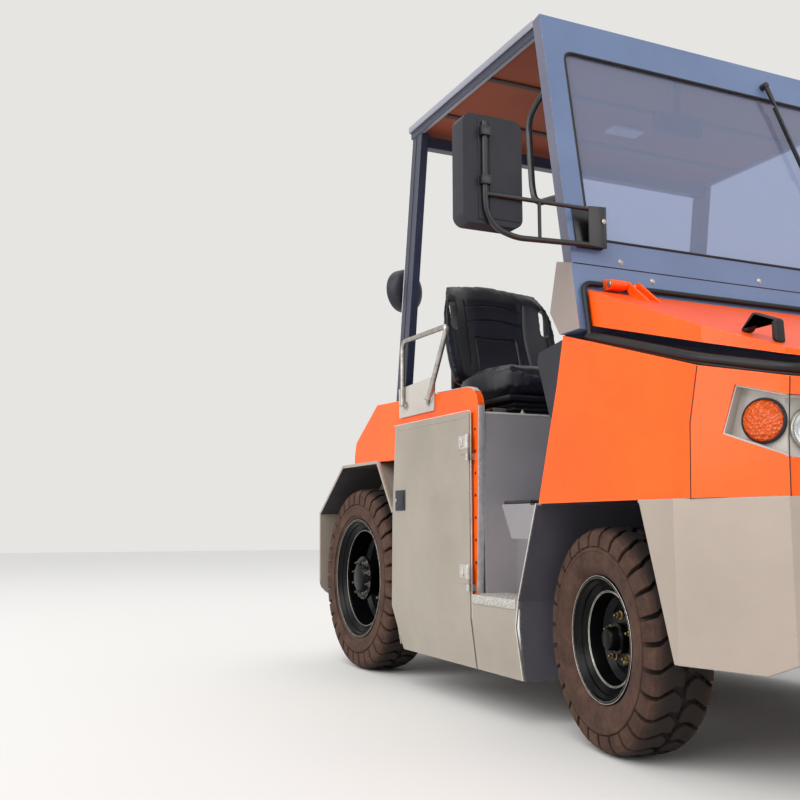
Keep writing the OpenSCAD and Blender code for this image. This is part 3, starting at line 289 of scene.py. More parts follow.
finishes = {
    "tyreRubber": tyreRubberMaterial("tyreRubber", "35241d", "523a2e", "1f1a18"),
    "gritTread": gritMaterial("gritTread", "a09d97", "c2beb6"),
    "ribbedRubber": ribbedRubberMaterial("ribbedRubber", "17171a", "3d3a37"),
    # the windows' pale blue film is partly painted reflection of the sky
    "windowGlass": glassMaterial("windowGlass", "aab7d8", 0.02, 0.76),
    "clearLens": glassMaterial("clearLens", "eef1f0", 0.04, 0.9),
    "amberLens": lensMaterial("amberLens", "ff6d05", 0.5),
    "redLens": lensMaterial("redLens", "c01216", 0.3),
}
for recipe, table in ((sprayedEnamel, enamels), (mouldedRubber, rubbers), (platedSteel, metals)):
    for name, values in table.items():
        finishes[name] = recipe(name, *values)
print("finishes mixed")

slotFinish = {
    "frame_black": "chassisBlack", "battery_steel": "chassisBlack", "orange_paint": "orangeEnamel",
    "grey_paint": "greyEnamel", "cab_grey": "entryGrey", "dark_sheet": "innerSheet", "black_rubber": "sealRubber",
    "cab_blue": "slateEnamel", "glass": "windowGlass", "roof_paint": "roofEnamel", "lining": "liningBoard",
    "post_slate": "postEnamel", "black_plastic": "blackPlastic", "black_metal": "blackMetal",
    "seat_vinyl": "seatVinyl", "lamp_plate": "lampPlate", "clear_lamp": "clearLens", "amber_lamp": "amberLens",
    "red_lamp": "redLens", "bright_tube": "zincSteel", "tyre": "tyreRubber", "rim_black": "rimGloss",
}
# the slot that goes with each finish
slotFor = {finish: slot for slot, finish in slotFinish.items()}
slotFor.update({finish: "bright_tube" for finish in metals})
slotFor.update({"gritTread": "cab_grey", "ribbedRubber": "black_rubber", "gasketRubber": "black_rubber",
                "frostedBulb": "clear_lamp", "dialWhite": "lamp_plate", "liningTrim": "lining"})


def makeActive(piece=None):
    if bpy.context.object and bpy.context.object.mode != "OBJECT":
        bpy.ops.object.mode_set(mode="OBJECT")
    bpy.ops.object.select_all(action="DESELECT")
    if piece:
        piece.select_set(True)
        bpy.context.view_layer.objects.active = piece


def setFinish(piece, finish):
    piece.data.materials.clear()
    piece.data.materials.append(finishes[finish])


# Names a piece, or the parts of one, and gives it its finish, body and the node that it stands for
def addPiece(piece, name, finish, stands=None, body="chassis"):
    piece = joined(piece) if isinstance(piece, list) else piece
    makeActive(piece)
    bpy.ops.object.transform_apply(location=True, rotation=True, scale=True)
    piece.name = name
    setFinish(piece, finish)
    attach(piece, body)
    if stands:
        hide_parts(stands)
    return piece


# Gives the faces that pick(normal, centre) chooses a second finish
def secondFinish(piece, finish, pick):
    piece.data.materials.append(finishes[finish])
    for face in piece.data.polygons:
        if pick(face.normal, face.center):
            face.material_index = 1


def applyModifier(piece, kind, **settings):
    modifier = piece.modifiers.new(kind.lower(), kind)
    for key, value in settings.items():
        setattr(modifier, key, value)
    makeActive(piece)
    bpy.ops.object.modifier_apply(modifier=modifier.name)


def roundEdges(piece, radius, segments=2, **limit):
    applyModifier(piece, "BEVEL", width=radius / 1000, segments=segments, limit_method="ANGLE", **limit)


# Runs mesh operators, each with its settings, on the whole piece in edit mode
def reshape(piece, *steps):
    makeActive(piece)
    bpy.ops.object.mode_set(mode="EDIT")
    bpy.ops.mesh.select_all(action="SELECT")
    for step, settings in steps:
        step(**settings)
    bpy.ops.object.mode_set(mode="OBJECT")


def fixNormals(piece):
    reshape(piece, (bpy.ops.mesh.remove_doubles, {"threshold": 0.00002}),
            (bpy.ops.mesh.normals_make_consistent, {"inside": False}))


# Makes an open sheet's faces agree, with the numbered one facing the way given
def faceSheet(piece, number, way):
    reshape(piece, (bpy.ops.mesh.normals_make_consistent, {"inside": False}))
    if piece.data.polygons[number].normal.dot(Vector(way)) < 0:
        piece.data.flip_normals()


def smoothBy(piece, angle):
    makeActive(piece)
    bpy.ops.object.shade_smooth_by_angle(angle=math.radians(angle))


# A block between two corners with its edges rounded; a taper narrows its front end
def blockPiece(low, high, rounding=1.5, segments=2, taper=1.0):
    makeActive()
    a, b = spotOf(low), spotOf(high)
    bpy.ops.mesh.primitive_cube_add(size=1, location=(a + b) / 2)
    piece = bpy.context.object
    piece.scale = b - a
    bpy.ops.object.transform_apply(location=True, rotation=True, scale=True)
    for vertex in piece.data.vertices:
        if vertex.co.y < (a.y + b.y) / 2:
            vertex.co.x *= taper
    roundEdges(piece, rounding, segments)
    smoothBy(piece, 35)
    return piece


# A block whose corners are given for the left side, made on either side
def sideBlock(side, low, high, *rounding):
    near, far = sorted((side * low[0], side * high[0]))
    return blockPiece((near, *low[1:]), (far, *high[1:]), *rounding)


# Draws a line through the spots by extruding a point in edit mode, which it leaves on
def drawnLine(spots):
    makeActive()
    bpy.ops.mesh.primitive_plane_add(size=0.001, location=(0, 0, 0))
    piece = bpy.context.object
    bpy.ops.object.mode_set(mode="EDIT")
    bpy.ops.mesh.merge(type="CENTER")
    bpy.ops.transform.translate(value=spots[0])
    for before, after in zip(spots, spots[1:]):
        bpy.ops.mesh.extrude_region_move(TRANSFORM_OT_translate={"value": after - before})
    bpy.ops.mesh.select_all(action="SELECT")
    return piece


# A turned piece: the profile's [along the axis, radius] points are spun about the axis through the centre
def turnedPiece(profile, centre, axis, steps=48, smoothAngle=30):
    centre, axis = spotOf(centre), Vector(axis).normalized()
    side = axis.orthogonal().normalized()
    piece = drawnLine([centre + axis * (a / 1000) + side * (r / 1000) for a, r in profile])
    bpy.ops.mesh.spin(steps=steps, angle=2 * math.pi, center=centre, axis=axis)
    bpy.ops.object.mode_set(mode="OBJECT")
    fixNormals(piece)
    smoothBy(piece, smoothAngle)
    return piece


# A flat outline pushed out by a vector
def platePiece(corners, push, rounding=1.0, segments=2):
    piece = drawnLine([spotOf(corner) for corner in corners])
    bpy.ops.mesh.edge_face_add()
    bpy.ops.mesh.extrude_region_move(TRANSFORM_OT_translate={"value": push})
    bpy.ops.object.mode_set(mode="OBJECT")
    fixNormals(piece)
    roundEdges(piece, rounding, segments)
    smoothBy(piece, 35)
    return piece


def roundedRoute(points, elbow, closed, steps=6):
    if not elbow:
        return list(points)
    route = []
    count = len(points)
    for i, corner in enumerate(points):
        if not closed and i in (0, count - 1):
            route.append(corner)
            continue
        inward, outward = points[i - 1] - corner, points[(i + 1) % count] - corner
        reach = min(elbow / 1000, inward.length * 0.45, outward.length * 0.45)
        start, end = corner + inward.normalized() * reach, corner + outward.normalized() * reach
        for k in range(steps + 1):
            t = k / steps
            route.append(start * (1 - t) ** 2 + corner * 2 * t * (1 - t) + end * t ** 2)
    return route


# A round tube or bar through points, its corners bent to an elbow
def tubePiece(points, radius, elbow=0, closed=False, fine=3):
    spots = roundedRoute([spotOf(point) for point in points], elbow, closed)
    curve = bpy.data.curves.new("route", "CURVE")
    curve.dimensions = "3D"
    curve.bevel_depth = radius / 1000
    curve.bevel_resolution = fine
    curve.use_fill_caps = True
    spline = curve.splines.new("POLY")
    spline.points.add(len(spots) - 1)
    for point, spot in zip(spline.points, spots):
        point.co = (*spot, 1)
    spline.use_cyclic_u = closed
    piece = bpy.data.objects.new("tube", curve)
    bpy.context.collection.objects.link(piece)
    makeActive(piece)
    bpy.ops.object.convert(target="MESH")
    piece = bpy.context.object
    fixNormals(piece)
    smoothBy(piece, 50)
    return piece


def joined(pieces):
    makeActive()
    for piece in pieces:
        piece.select_set(True)
    bpy.context.view_layer.objects.active = pieces[0]
    bpy.ops.object.join()
    return bpy.context.object


def settle(piece, move):
    piece.data.transform(move)
    if move.to_3x3().determinant() < 0:
        piece.data.flip_normals()
    return piece


def duplicate(model):
    piece = model.copy()
    piece.data = model.data.copy()
    bpy.context.collection.objects.link(piece)
    return piece


# One piece made of copies of a small one, each moved by a matrix; the small one goes
def copiesOf(piece, moves):
    copies = [settle(duplicate(piece), move) for move in moves]
    bpy.data.objects.remove(piece)
    return joined(copies)


mirrorMove = Matrix.Scale(-1, 4, (1, 0, 0))
stay = Matrix.Identity(4)
origin = Vector((0, 0, 0))


def bothSides(*parts):
    return copiesOf(joined(parts), [stay, mirrorMove])


# A hexagon nut or bolt head on its washer, standing out along an axis, with its stud
def hexBolt(spot, axis, size, tall, stud=0):
    spot, axis = spotOf(spot), Vector(axis).normalized()
    makeActive()
    turn = axis.to_track_quat("Z", "Y").to_matrix().to_4x4()
    washer = 1.5
    bpy.ops.mesh.primitive_cylinder_add(vertices=6, radius=size / 1732, depth=tall / 1000)
    head = bpy.context.object
    head.data.transform(Matrix.Translation(spot) @ turn @ Matrix.Translation((0, 0, (washer + tall / 2) / 1000)))
    roundEdges(head, 1.2)
    smoothBy(head, 30)
    inner, outer = size * 0.3, size * 0.95
    parts = [head, turnedPiece([(0, inner), (0, outer), (washer, outer), (2, size * 0.88), (2, inner)], spot, axis, 24)]
    if stud:
        top = washer + tall + stud
        parts.append(turnedPiece([(0, 0), (0, size * 0.28), (top - 1, size * 0.28), (top, size * 0.2), (top, 0)],
                                 spot, axis, 16))
    return joined(parts)


# A low dome-headed screw
def domeScrew(spot, axis, radius):
    return turnedPiece([(0, radius * 1.15), (1, radius * 1.15), (1, radius), (radius * 0.3, radius * 0.9),
                        (radius * 0.52, radius * 0.55), (radius * 0.6, 0), (0, 0), (0, radius * 1.15)], spot, axis, 24)


def gridPiece(columns, rows, shape):
    makeActive()
    bpy.ops.mesh.primitive_grid_add(x_subdivisions=columns, y_subdivisions=rows, size=2)
    piece = bpy.context.object
    for vertex in piece.data.vertices:
        vertex.co = shape((vertex.co.x + 1) / 2, (vertex.co.y + 1) / 2)
    return piece


def ease(value, start, end):
    t = min(1.0, max(0.0, (value - start) / (end - start)))
    return t * t * (3 - 2 * t)


# A copy of a CAD node whose edges are rounded like folded sheet; it stands for the node
def roundedCopy(nodeName, radius):
    piece = duplicate(nodes[nodeName])
    piece.parent = None
    makeActive(piece)
    bpy.ops.mesh.customdata_custom_splitnormals_clear()
    reshape(piece, (bpy.ops.mesh.remove_doubles, {"threshold": 0.00005}),
            (bpy.ops.mesh.dissolve_limited, {"angle_limit": math.radians(0.6)}))
    roundEdges(piece, radius, 4 if radius > 8 else 2, angle_limit=math.radians(28))
    smoothBy(piece, 13)
    slot = slotOf[nodeName]
    finish = otherFinish.get(nodeName, slotFinish[slot])
    return addPiece(piece, nodeName + "Skin", finish, nodeName, bodyOf[nodeName])


for name, node in nodes.items():
    setFinish(node, slotFinish[slotOf[name]])

# edge radius in millimetres of each folded or moulded piece
edgeRadius = {
    "body_sides": 2.0, "rear_body": 2.0, "hood_body": 1.8, "hood_lid": 3.0, "wheel_arches": 1.5, "entry_steps": 1.5,
    "front_bumper": 2.5, "battery_door_left": 3.0, "battery_door_right": 3.0, "cab_floor": 1.5, "cowl": 1.5,
    "windshield_frame": 1.8, "roof": 9.0, "rear_posts": 3.0, "dash": 6.0, "chassis_frame": 3.0, "tow_coupling": 2.0,
    "front_axle": 3.0, "battery_block": 5.0, "lamp_housings": 1.0, "hood_hinges": 1.5, "hood_handle": 6.0,
    "knuckle_left": 1.5, "knuckle_right": 1.5, "wheel_houses": 1.5, "mirrors": 20.0, "steering_wheel": 3.0,
    "pedals": 3.0,
}
# painted shade: the wheel houses take the dark inner sheet for the shade inside them
otherFinish = {"wheel_houses": "innerSheet", "front_bumper": "bumperEnamel", "wheel_arches": "bumperEnamel"}
rounded = {name: roundedCopy(name, radius) for name, radius in edgeRadius.items()}
# painted light: the cowl's side ears, slate like its front, are painted a warmer grey for the reflection on them, and
# the frame's sides, the same slate, a duller grey for how the light falls on them
for name, finish in (("cowl", "flangeBeige"), ("windshield_frame", "sideSlate")):
    secondFinish(rounded[name], finish, lambda normal, centre: abs(normal.x) > 0.8 and abs(centre.x) > 0.70)
# the roof's rim is pale above a dark channel
secondFinish(rounded["roof"], "postEnamel", lambda normal, centre: abs(centre.x) > 0.70 and centre.z < 2.0925)
# painted light: the seat box's front wall, in shade under these lamps, is painted paler than the floor
secondFinish(rounded["cab_floor"], "seatBoxGrey",
             lambda normal, centre: normal.y < -0.9 and abs(centre.y + 0.179) < 0.004)
# the arches' faces that look downward take the dark inner sheet finish
secondFinish(rounded["wheel_arches"], "innerSheet", lambda normal, centre: normal.z < -0.2)
# painted shade: the wheel houses are dark inner sheet for the shade inside them; only their walls behind the front
# wheels are slate
secondFinish(rounded["wheel_houses"], "houseSlate", lambda normal, centre: abs(normal.x) < 0.5 and centre.y > -0.60)
print("edges rounded")

# wheels, in metres from the middle and the ground; the front ones stand turned to the right, as photographed
wheelFit = {"kingpin": (0.537, 0.2915), "fromKingpin": 0.079, "steerRest": math.radians(8.5), "rearHub": (0.607, 0.37)}
wheelNames = ["front_left", "front_right", "rear_left", "rear_right"]


# From a wheel built about the X axis with +X outboard to its place on the tug
def wheelMove(name):
    side = 1 if name.endswith("left") else -1
    front = name.startswith("front")
    out, height = wheelFit["kingpin" if front else "rearHub"]
    y = tug["frontAxleY"] + (0 if front else tug["wheelbase"])
    move, flip = Matrix.Translation((side * out, y, height)), Matrix.Diagonal((side, 1, 1, 1))
    if not front:
        return move @ flip
    steer = Matrix.Rotation(-wheelFit["steerRest"], 4, "Z")
    return move @ steer @ flip @ Matrix.Translation((wheelFit["fromKingpin"], 0, 0))


# 0 is the brown sidewall, 1 the face that meets the road and the grooves' floors, darkened partly for wear and partly
# as painted shade
def markTread(piece, amount):
    tread = piece.data.attributes.new("tread", "FLOAT", "POINT")
    for vertex, value in zip(piece.data.vertices, tread.data):
        value.value = amount(math.hypot(vertex.co.y, vertex.co.z) * 1000, abs(vertex.co.x) * 1000)


tyreSizes = {
    "front": {"radius": 291.5, "half": 91, "rim": 164, "recess": 15, "lugs": 27, "groove": 10},
    "rear": {"radius": 370, "half": 100, "rim": 242, "recess": 9, "lugs": 34, "groove": 11},
}


# The casing with its raised ring, turned, and shoulder lugs that run into a zigzag over the tread
def buildTyre(size):
    r, h, rim, recess = size["radius"], size["half"], size["rim"], size["recess"]
    grooveFloor = r - size["groove"]
    half = [(h - recess - 20, rim - 13.5), (h - recess - 6, rim + 2), (h - recess + 1, rim + 9), (h - 6, rim + 20),
            (h - 3.5, rim + 30), (h - 3, 0.70 * r), (h - 2.6, 0.775 * r), (h - 0.6, 0.785 * r), (h - 0.2, 0.80 * r),
            (h - 1.4, 0.812 * r), (h - 7, 0.82 * r), (h - 11, 0.86 * r), (h - 20, r - 31), (h - 34, r - 22),
            (h - 52, grooveFloor - 2), (0, grooveFloor - 2)]
    profile = half + [(-a, b) for a, b in reversed(half[:-1])]
    casing = turnedPiece(profile + profile[:1], origin, (1, 0, 0), 108, 24)
    pitch = 2 * math.pi / size["lugs"]
    # along the lug from the raised ring to the tread's middle: outward place, radius, slant and half width in pitches
    stations = [(h - 1.6, 0.826 * r, 0.0, 0.405), (h - 2.0, 0.86 * r, 0.0, 0.405), (h - 4.5, r - 24, 0.0, 0.40),
                (h - 12, r - 11.5, 0.01, 0.40), (h - 25, r - 3.8, 0.05, 0.395), (h - 42, r - 0.6, 0.26, 0.40),
                (h * 0.30, r - 0.2, 0.46, 0.39), (h * 0.13, r - 0.1, 0.34, 0.33), (h * 0.05, r - 0.1, 0.28, 0.22)]
    last = len(stations) - 1

    def lugShape(u, v):
        x, radius, slant, width = stations[round(u * last)]
        angle = pitch * (slant + (2 * v - 1) * width)
        return Vector((x, radius * math.sin(angle), radius * math.cos(angle))) / 1000

    lug = gridPiece(last, 3, lugShape)
    faceSheet(lug, len(lug.data.polygons) // 2, (0, 0, 1))
    applyModifier(lug, "SOLIDIFY", thickness=0.021, offset=-1.0)
    roundEdges(lug, 1.4, 1, angle_limit=math.radians(50))
    smoothBy(lug, 20)
    otherHalf = Matrix.Rotation(pitch / 2, 4, "X") @ mirrorMove
    lugs = copiesOf(lug, [Matrix.Rotation(-pitch * k, 4, "X") @ turn for k in range(size["lugs"])
                          for turn in (stay, otherHalf)])
    # the tread face and the grooves' floors take the darker tone, partly painted shade
    markTread(casing, lambda radius, out: ease(radius, 0.815 * r, 0.84 * r))
    markTread(lugs, lambda radius, out: 0.9 * ease(h - out, 12, 34))
    return joined([casing, lugs])


tyreModels = {kind: buildTyre(size) for kind, size in tyreSizes.items()}
for name in wheelNames:
    tyre = settle(duplicate(tyreModels[name.split("_")[0]]), wheelMove(name))
    addPiece(tyre, "tyre." + name, "tyreRubber", stands="tyre_" + name, body="wheel_" + name)
for model in tyreModels.values():
    bpy.data.objects.remove(model)
print("tyres treaded")

wheelFittings = {
    # nuts: count, bolt circle, place outboard, size; rings: radius and place of the bright rings on the rims' edges,
    # bare worn edges that are partly painted highlight
    "front": {"count": 5, "circle": 60, "out": 14, "nut": 13, "tall": 10, "stud": 9, "finish": "yellowZinc",
              "drum": [(-12, 0), (-12, 74), (9, 74), (14, 70), (14, 34), (20, 31), (50, 30), (58, 26), (62, 18),
                       (62, 0)],
              "rings": [(163.2, 75.6), (157, 75.2), (120.6, 45.0), (124, 46.2)], "valve": (138, 46)},
    "rear": {"count": 10, "circle": 74, "out": 68, "nut": 13, "tall": 9, "stud": 8, "finish": "hubStud",
             "drum": [(-40, 0), (-40, 74), (54, 74), (56, 88), (68, 88), (68, 60), (78, 57), (88, 50), (92, 40),
                      (92, 0)],
             "rings": [(241.2, 90.4), (235, 90.2), (195.6, 59), (199, 60)], "valve": (214, 58)},
}
valveProfile = [(0, 0), (0, 7), (9, 6.5), (12, 4.2), (28, 4), (29, 5.4), (38, 5.4), (39, 4.6), (39, 0)]


def ringSpots(radius, out, count=96):
    angles = [2 * math.pi * k / count for k in range(count)]
    return [Vector((out, radius * math.cos(a), radius * math.sin(a))) / 1000 for a in angles]


def buildFittings(fit):
    nut = hexBolt(Vector((fit["out"], 0, fit["circle"])) / 1000, (1, 0, 0), fit["nut"], fit["tall"], fit["stud"])
    nuts = copiesOf(nut, [Matrix.Rotation(2 * math.pi * k / fit["count"], 4, "X") for k in range(fit["count"])])
    rings = joined([tubePiece(ringSpots(*ring), 0.9, closed=True, fine=1) for ring in fit["rings"]])
    radius, out = fit["valve"]
    foot = Vector((out - 8, -radius * 0.94, -radius * 0.34)) / 1000
    valve = turnedPiece(valveProfile, foot, (1, 0.25, 0.1), 16)
    drum = turnedPiece(fit["drum"], origin, (1, 0, 0), 64)
    return {"hubDrum": (drum, "rimGloss"), "wheelNuts": (nuts, fit["finish"]), "rimWearAndHighlight": (rings, "wornEdge"),
            "valve": (valve, "yellowZinc")}


for name in wheelNames:
    for label, (piece, finish) in buildFittings(wheelFittings[name.split("_")[0]]).items():
        addPiece(settle(piece, wheelMove(name)), label + "." + name, finish, body="wheel_" + name)
print("wheels fitted")

# battery doors: bead under the top edge, a painted highlight along the front and top edges, latch, hinge leaves
doorFit = {"latchLow": (1160, 642), "latchHigh": (1244, 718), "leafHeights": (420, 840)}
for side, tag in sides:
    body = "battery_door_" + tag
    bead = tubePiece([(side * 724.2, 684, 942), (side * 724.2, 1225, 945)], 2.6, fine=2)
    # painted highlight: a pale line down the door's front edge and along its top
    rim = tubePiece([(side * 724.8, 653, 292), (side * 724.8, 653, 962), (side * 724.8, 1262, 965)], 1.5, 14, fine=2)
    (d, z), (rear, top) = doorFit["latchLow"], doorFit["latchHigh"]
    latch = joined([sideBlock(side, (724, d, z), (728.5, rear, top), 2.2, 3),
                    sideBlock(side, (727, d + 10, z + 12), (731, rear - 22, top - 12), 1.8, 3)])
    lock = turnedPiece([(0, 0), (0, 7.5), (4, 7.5), (5, 6.5), (5, 2), (3, 1.6), (3, 0)], (side * 728, rear - 12, 680),
                       (side, 0, 0), 24)
    leaves = []
    for z in doorFit["leafHeights"]:
        leaves += [sideBlock(side, (724, 672, z - 2), (728.6, 731, z + 41), 1.6, 3),
                   sideBlock(side, (724, 700, z + 4), (733, 716, z + 34), 3, 3),
                   turnedPiece([(0, 0), (0, 7.6), (1.5, 8.6), (44, 8.6), (45.5, 7.6), (45.5, 0)],
                               (side * 733, 660, z - 3), (0, 0, 1), 24)]
    for piece, label, finish in ((bead, "doorBead.", "greyEnamel"), (rim, "doorRim.", "brightEdge"),
                                 (latch, "doorLatch.", "blackPlastic"), (lock, "doorLock.", "zincSteel"),
                                 (leaves, "hingeLeaves.", "hingeZinc")):
        addPiece(piece, label + body, finish, body=body)

# side walls: bright band round the front and top edge, jamb with its pressed dimples
wallEdge = [(650, 372), (641, 640), (632.5, 962), (636, 985), (645, 1008), (660, 1027), (681, 1040), (706, 1046),
            (760, 1048), (830, 1050.6), (935, 1054.6)]
lastEdge = len(wallEdge) - 1
for side, tag in sides:
    rails = [[place(side * x, d, z) for d, z in wallEdge] for x in (682.5, 706.5)]
    band = gridPiece(lastEdge, 1, lambda u, v: rails[round(v)][round(u * lastEdge)].copy())
    faceSheet(band, 0, (0, -1, 0))
    applyModifier(band, "SOLIDIFY", thickness=0.0022, offset=1.0)
    roundEdges(band, 0.6, angle_limit=math.radians(40))
    smoothBy(band, 30)
    addPiece(band, "wallBand." + tag, "brushedAluminium")
    dimples = [turnedPiece([(0, 0), (0, 5.2), (1.2, 4.6), (1.5, 0)], (side * 708.2, 652 + 0.012 * k, 900 - 72 * k),
                           (side, 0, 0), 16) for k in range(7)]
    addPiece(dimples, "jambStuds." + tag, "sealRubber")

# entry steps and the mats on the trays
stepFit = {"front": 384, "rear": 652, "base": 366, "top": 369.2, "firstRib": 404, "ribPitch": 27.5, "ribs": 9}
for side, tag in sides:
    front, rear, top = stepFit["front"], stepFit["rear"], stepFit["top"]
    tread = sideBlock(side, (590, front, stepFit["base"]), (723, rear, top), 1.2)
    lip = sideBlock(side, (716, front, top - 29), (729, rear, top), 2.5, 3)
    addPiece([tread, lip], "stepTread." + tag, "gritTread")
    ribs = []
    for k in range(stepFit["ribs"]):
        d = stepFit["firstRib"] + stepFit["ribPitch"] * k
        ribs.append(sideBlock(side, (598, d, 368.6), (715, d + 9, 371.8), 1.4))
    addPiece(ribs, "stepRibs." + tag, "gritTread")
    low = sideBlock(side, (652, 318, 552), (719, 399, 559), 2.4, 3)
    high = sideBlock(side, (586, 302, 650.1), (722, 452, 661), 4, 3)
    addPiece([low, high], "sideMat." + tag, "ribbedRubber")

# cab floor mat with long ribs
mat = blockPiece((-574, 306, 650.1), (574, 628, 655), 2)
rib = blockPiece((-560, 318, 654.5), (560, 322, 657.2), 0.8, 1)
ribs = copiesOf(rib, [Matrix.Translation((0, 0.0125 * k, 0)) for k in range(25)])
addPiece([mat, ribs], "floorMat", "ribbedRubber")

# grab loops on their plates, with the retaining chain
loop = [(-724, 1185, 1034), (-724, 1185, 1280), (-724, 824, 1274), (-724, 828, 1250), (-724, 965, 1034)]
plate = platePiece([(-708, 942, 992), (-708, 1234, 992), (-708, 1240, 1106), (-708, 940, 1116)],
                   Vector((-0.008, 0, 0)), 2.0, 3)
tube = tubePiece(loop, 9.4, 34, fine=5)
bolts = [hexBolt((-716, d, z), (-1, 0, 0), 17, 8) for d, z in ((976, 1027), (1164, 1033))]
feet = [turnedPiece([(0, 9), (0, 14), (3, 14), (5, 11), (5, 9), (0, 9)], (-724, d, 1034), (0, 0, 1), 24)
        for d in (965, 1185)]
addPiece(bothSides(tube, *feet), "grabLoops", "satinSteel", stands="grab_handles")
addPiece(bothSides(plate), "grabPlates", "lampPlate")
addPiece(bothSides(*bolts), "grabBolts", "zincSteel")
link = tubePiece([(-720, 950, 1110), (-720, 946, 1106), (-720, 946, 1098), (-720, 950, 1094), (-720, 954, 1098),
                  (-720, 954, 1106)], 1.4, 2, True, 1)
linkCentre = place(-720, 950, 1102)
turnLink = Matrix.Translation(linkCentre) @ Matrix.Rotation(math.pi / 2, 4, "Z") @ Matrix.Translation(-linkCentre)
chain = copiesOf(link, [Matrix.Translation((0, 0, -0.0115 * k)) @ (turnLink if k % 2 else stay) for k in range(7)])
addPiece(bothSides(chain), "retainingChain", "zincSteel")

# heads of the hood's hinge pins
heads = [turnedPiece([(-1, 0), (-1, 8.5), (2.2, 8.5), (3.4, 7), (3.8, 0), (-1, 0)], (x, 22, 1250), (way, 0, 0), 24)
         for x, way in ((-628, -1), (-548, 1))]
heads += [domeScrew((x, 41, 1265.5), (0, -0.17, 0.985), 5) for x in (-612, -588)]
addPiece(bothSides(*heads), "hingePins", "zincSteel")

# lamps in the hood's corners: the corner's place and turn, and the lamp's spot in it
lampFit = {
    "turn": {"corner": (-669, -549, 806), "turn": 200.4, "spot": (-40, -9, 8)},
    "head": {"corner": (-575, -628, 800), "turn": 250.5, "spot": (-40, -4, -8)},
}
bezel = [(0, 45.8), (0, 50.5), (9, 50.5), (11.5, 49), (12, 47), (10, 45.8), (0, 45.8)]
lampParts = {
    # name: finish, node that it stands for, profile
    "turnLens": ("amberLens", "turn_lamps", [(12, 0), (12, 30), (10, 44), (10, 45.6), (11, 45.6), (13.5, 43.5),
                                             (16.5, 38), (19, 28), (20.5, 14), (20.9, 0)]),
    "turnReflector": ("mirrorChrome", None, [(1, 0), (1, 45), (8, 45), (8, 44), (5, 30), (3, 12), (2.6, 0)]),
    "turnBezel": ("blackPlastic", None, bezel),
    "headLens": ("clearLens", "head_lamps", [(12.4, 45.6), (13.5, 43.5), (16.5, 38), (19, 28), (20.5, 14), (20.9, 0),
                                             (18.9, 0), (18.5, 14), (17, 28), (14.6, 37), (11.8, 42.6), (11, 45.6),
                                             (12.4, 45.6)]),
    "headReflector": ("mirrorChrome", None, [(1, 0), (1, 45.4), (10.4, 45.4), (10.4, 44), (7, 36), (4, 24), (2.6, 9),
                                             (2.6, 0)]),
    "headBulb": ("frostedBulb", None, [(2, 0), (2, 6), (6, 6), (7, 5), (13, 5), (15.5, 3.4), (16.2, 0)]),
    "headBezel": ("zincSteel", None, bezel),
}
for name, (finish, stands, profile) in lampParts.items():
    fit = lampFit[name[:4]]
    part = turnedPiece(profile, Vector(fit["spot"]) / 1000, (1, 0, 0), 24 if name == "headBulb" else 64)
    settle(part, Matrix.Translation(place(*fit["corner"])) @ Matrix.Rotation(math.radians(fit["turn"]), 4, "Z"))
    addPiece(bothSides(part), name, finish, stands=stands)
    if name.endswith("Reflector"):
        # the bowls are bright inside only; their backs, seen from under the open lid, are black
        secondFinish(bpy.context.object, "blackPlastic", lambda normal, centre: normal.y > 0.3)
print("lamps fitted")

# windshield: rubber seals and dome bolts
wsFit = {"foot": (65, 1311), "lean": math.radians(9.9)}
wsUp = Vector((0, math.sin(wsFit["lean"]), math.cos(wsFit["lean"])))
wsOut = Vector((0, -math.cos(wsFit["lean"]), math.sin(wsFit["lean"])))


def onGlass(x, v, lift=0.0):
    return place(x, *wsFit["foot"]) + wsUp * (v / 1000) + wsOut * (lift / 1000)


# The same, by height above the ground
def glassAt(x, z, lift=0.0):
    return onGlass(x, (z - wsFit["foot"][1]) / math.cos(wsFit["lean"]), lift)


for name, radius, lift in (("glassSeal", 4.6, -1.5), ("glassSealInside", 4.0, -15.5)):
    corners = [onGlass(x, v, lift) for x, v in ((-649, 82), (649, 82), (649, 703), (-649, 703))]
    addPiece(tubePiece(corners, radius, 34, True, 2), name, "sealRubber")
bolts = [domeScrew(glassAt(x, z), wsOut, 7.5) for x, z in ((-552, 1332), (-447, 1285), (-30, 1332), (552, 1332),
                                                         (447, 1285))]
addPiece(bolts, "frameBolts", "zincSteel")

# wiper, built lying along -Y and then stood on the glass
wiperMove = Matrix.Translation(onGlass(150, 745.2)) @ Matrix((
    (1, 0, 0, 0), (0, wsUp.y, wsOut.y, 0), (0, wsUp.z, wsOut.z, 0), (0, 0, 0, 1))) @ Matrix.Rotation(
    math.radians(18), 4, "Z")
wiperBars = {
    # half width, from and to along the arm, from and to above the glass, rounding, taper
    "wiperArm": [(8, -74, 2, 12, 23, 2.5, 0.7), (4.5, -318, -66, 15, 20.5, 1.2, 0.8), (5.5, -332, -304, 12, 21, 1.5),
                 (4.5, -420, -220, 12.2, 15.5, 1.2), (3.6, -520, -390, 10.4, 13, 0.8),
                 (3.6, -250, -120, 10.4, 13, 0.8)],
    "wiperRubber": [(4.4, -560, -80, 9, 11, 0.8), (1.6, -558, -82, 5.6, 9.4, 0.5)],
}


def wiperBar(half, start, end, low, high, rounding, taper=1.0):
    return blockPiece(Vector((-half, start, low)) / 1000, Vector((half, end, high)) / 1000, rounding, 2, taper)


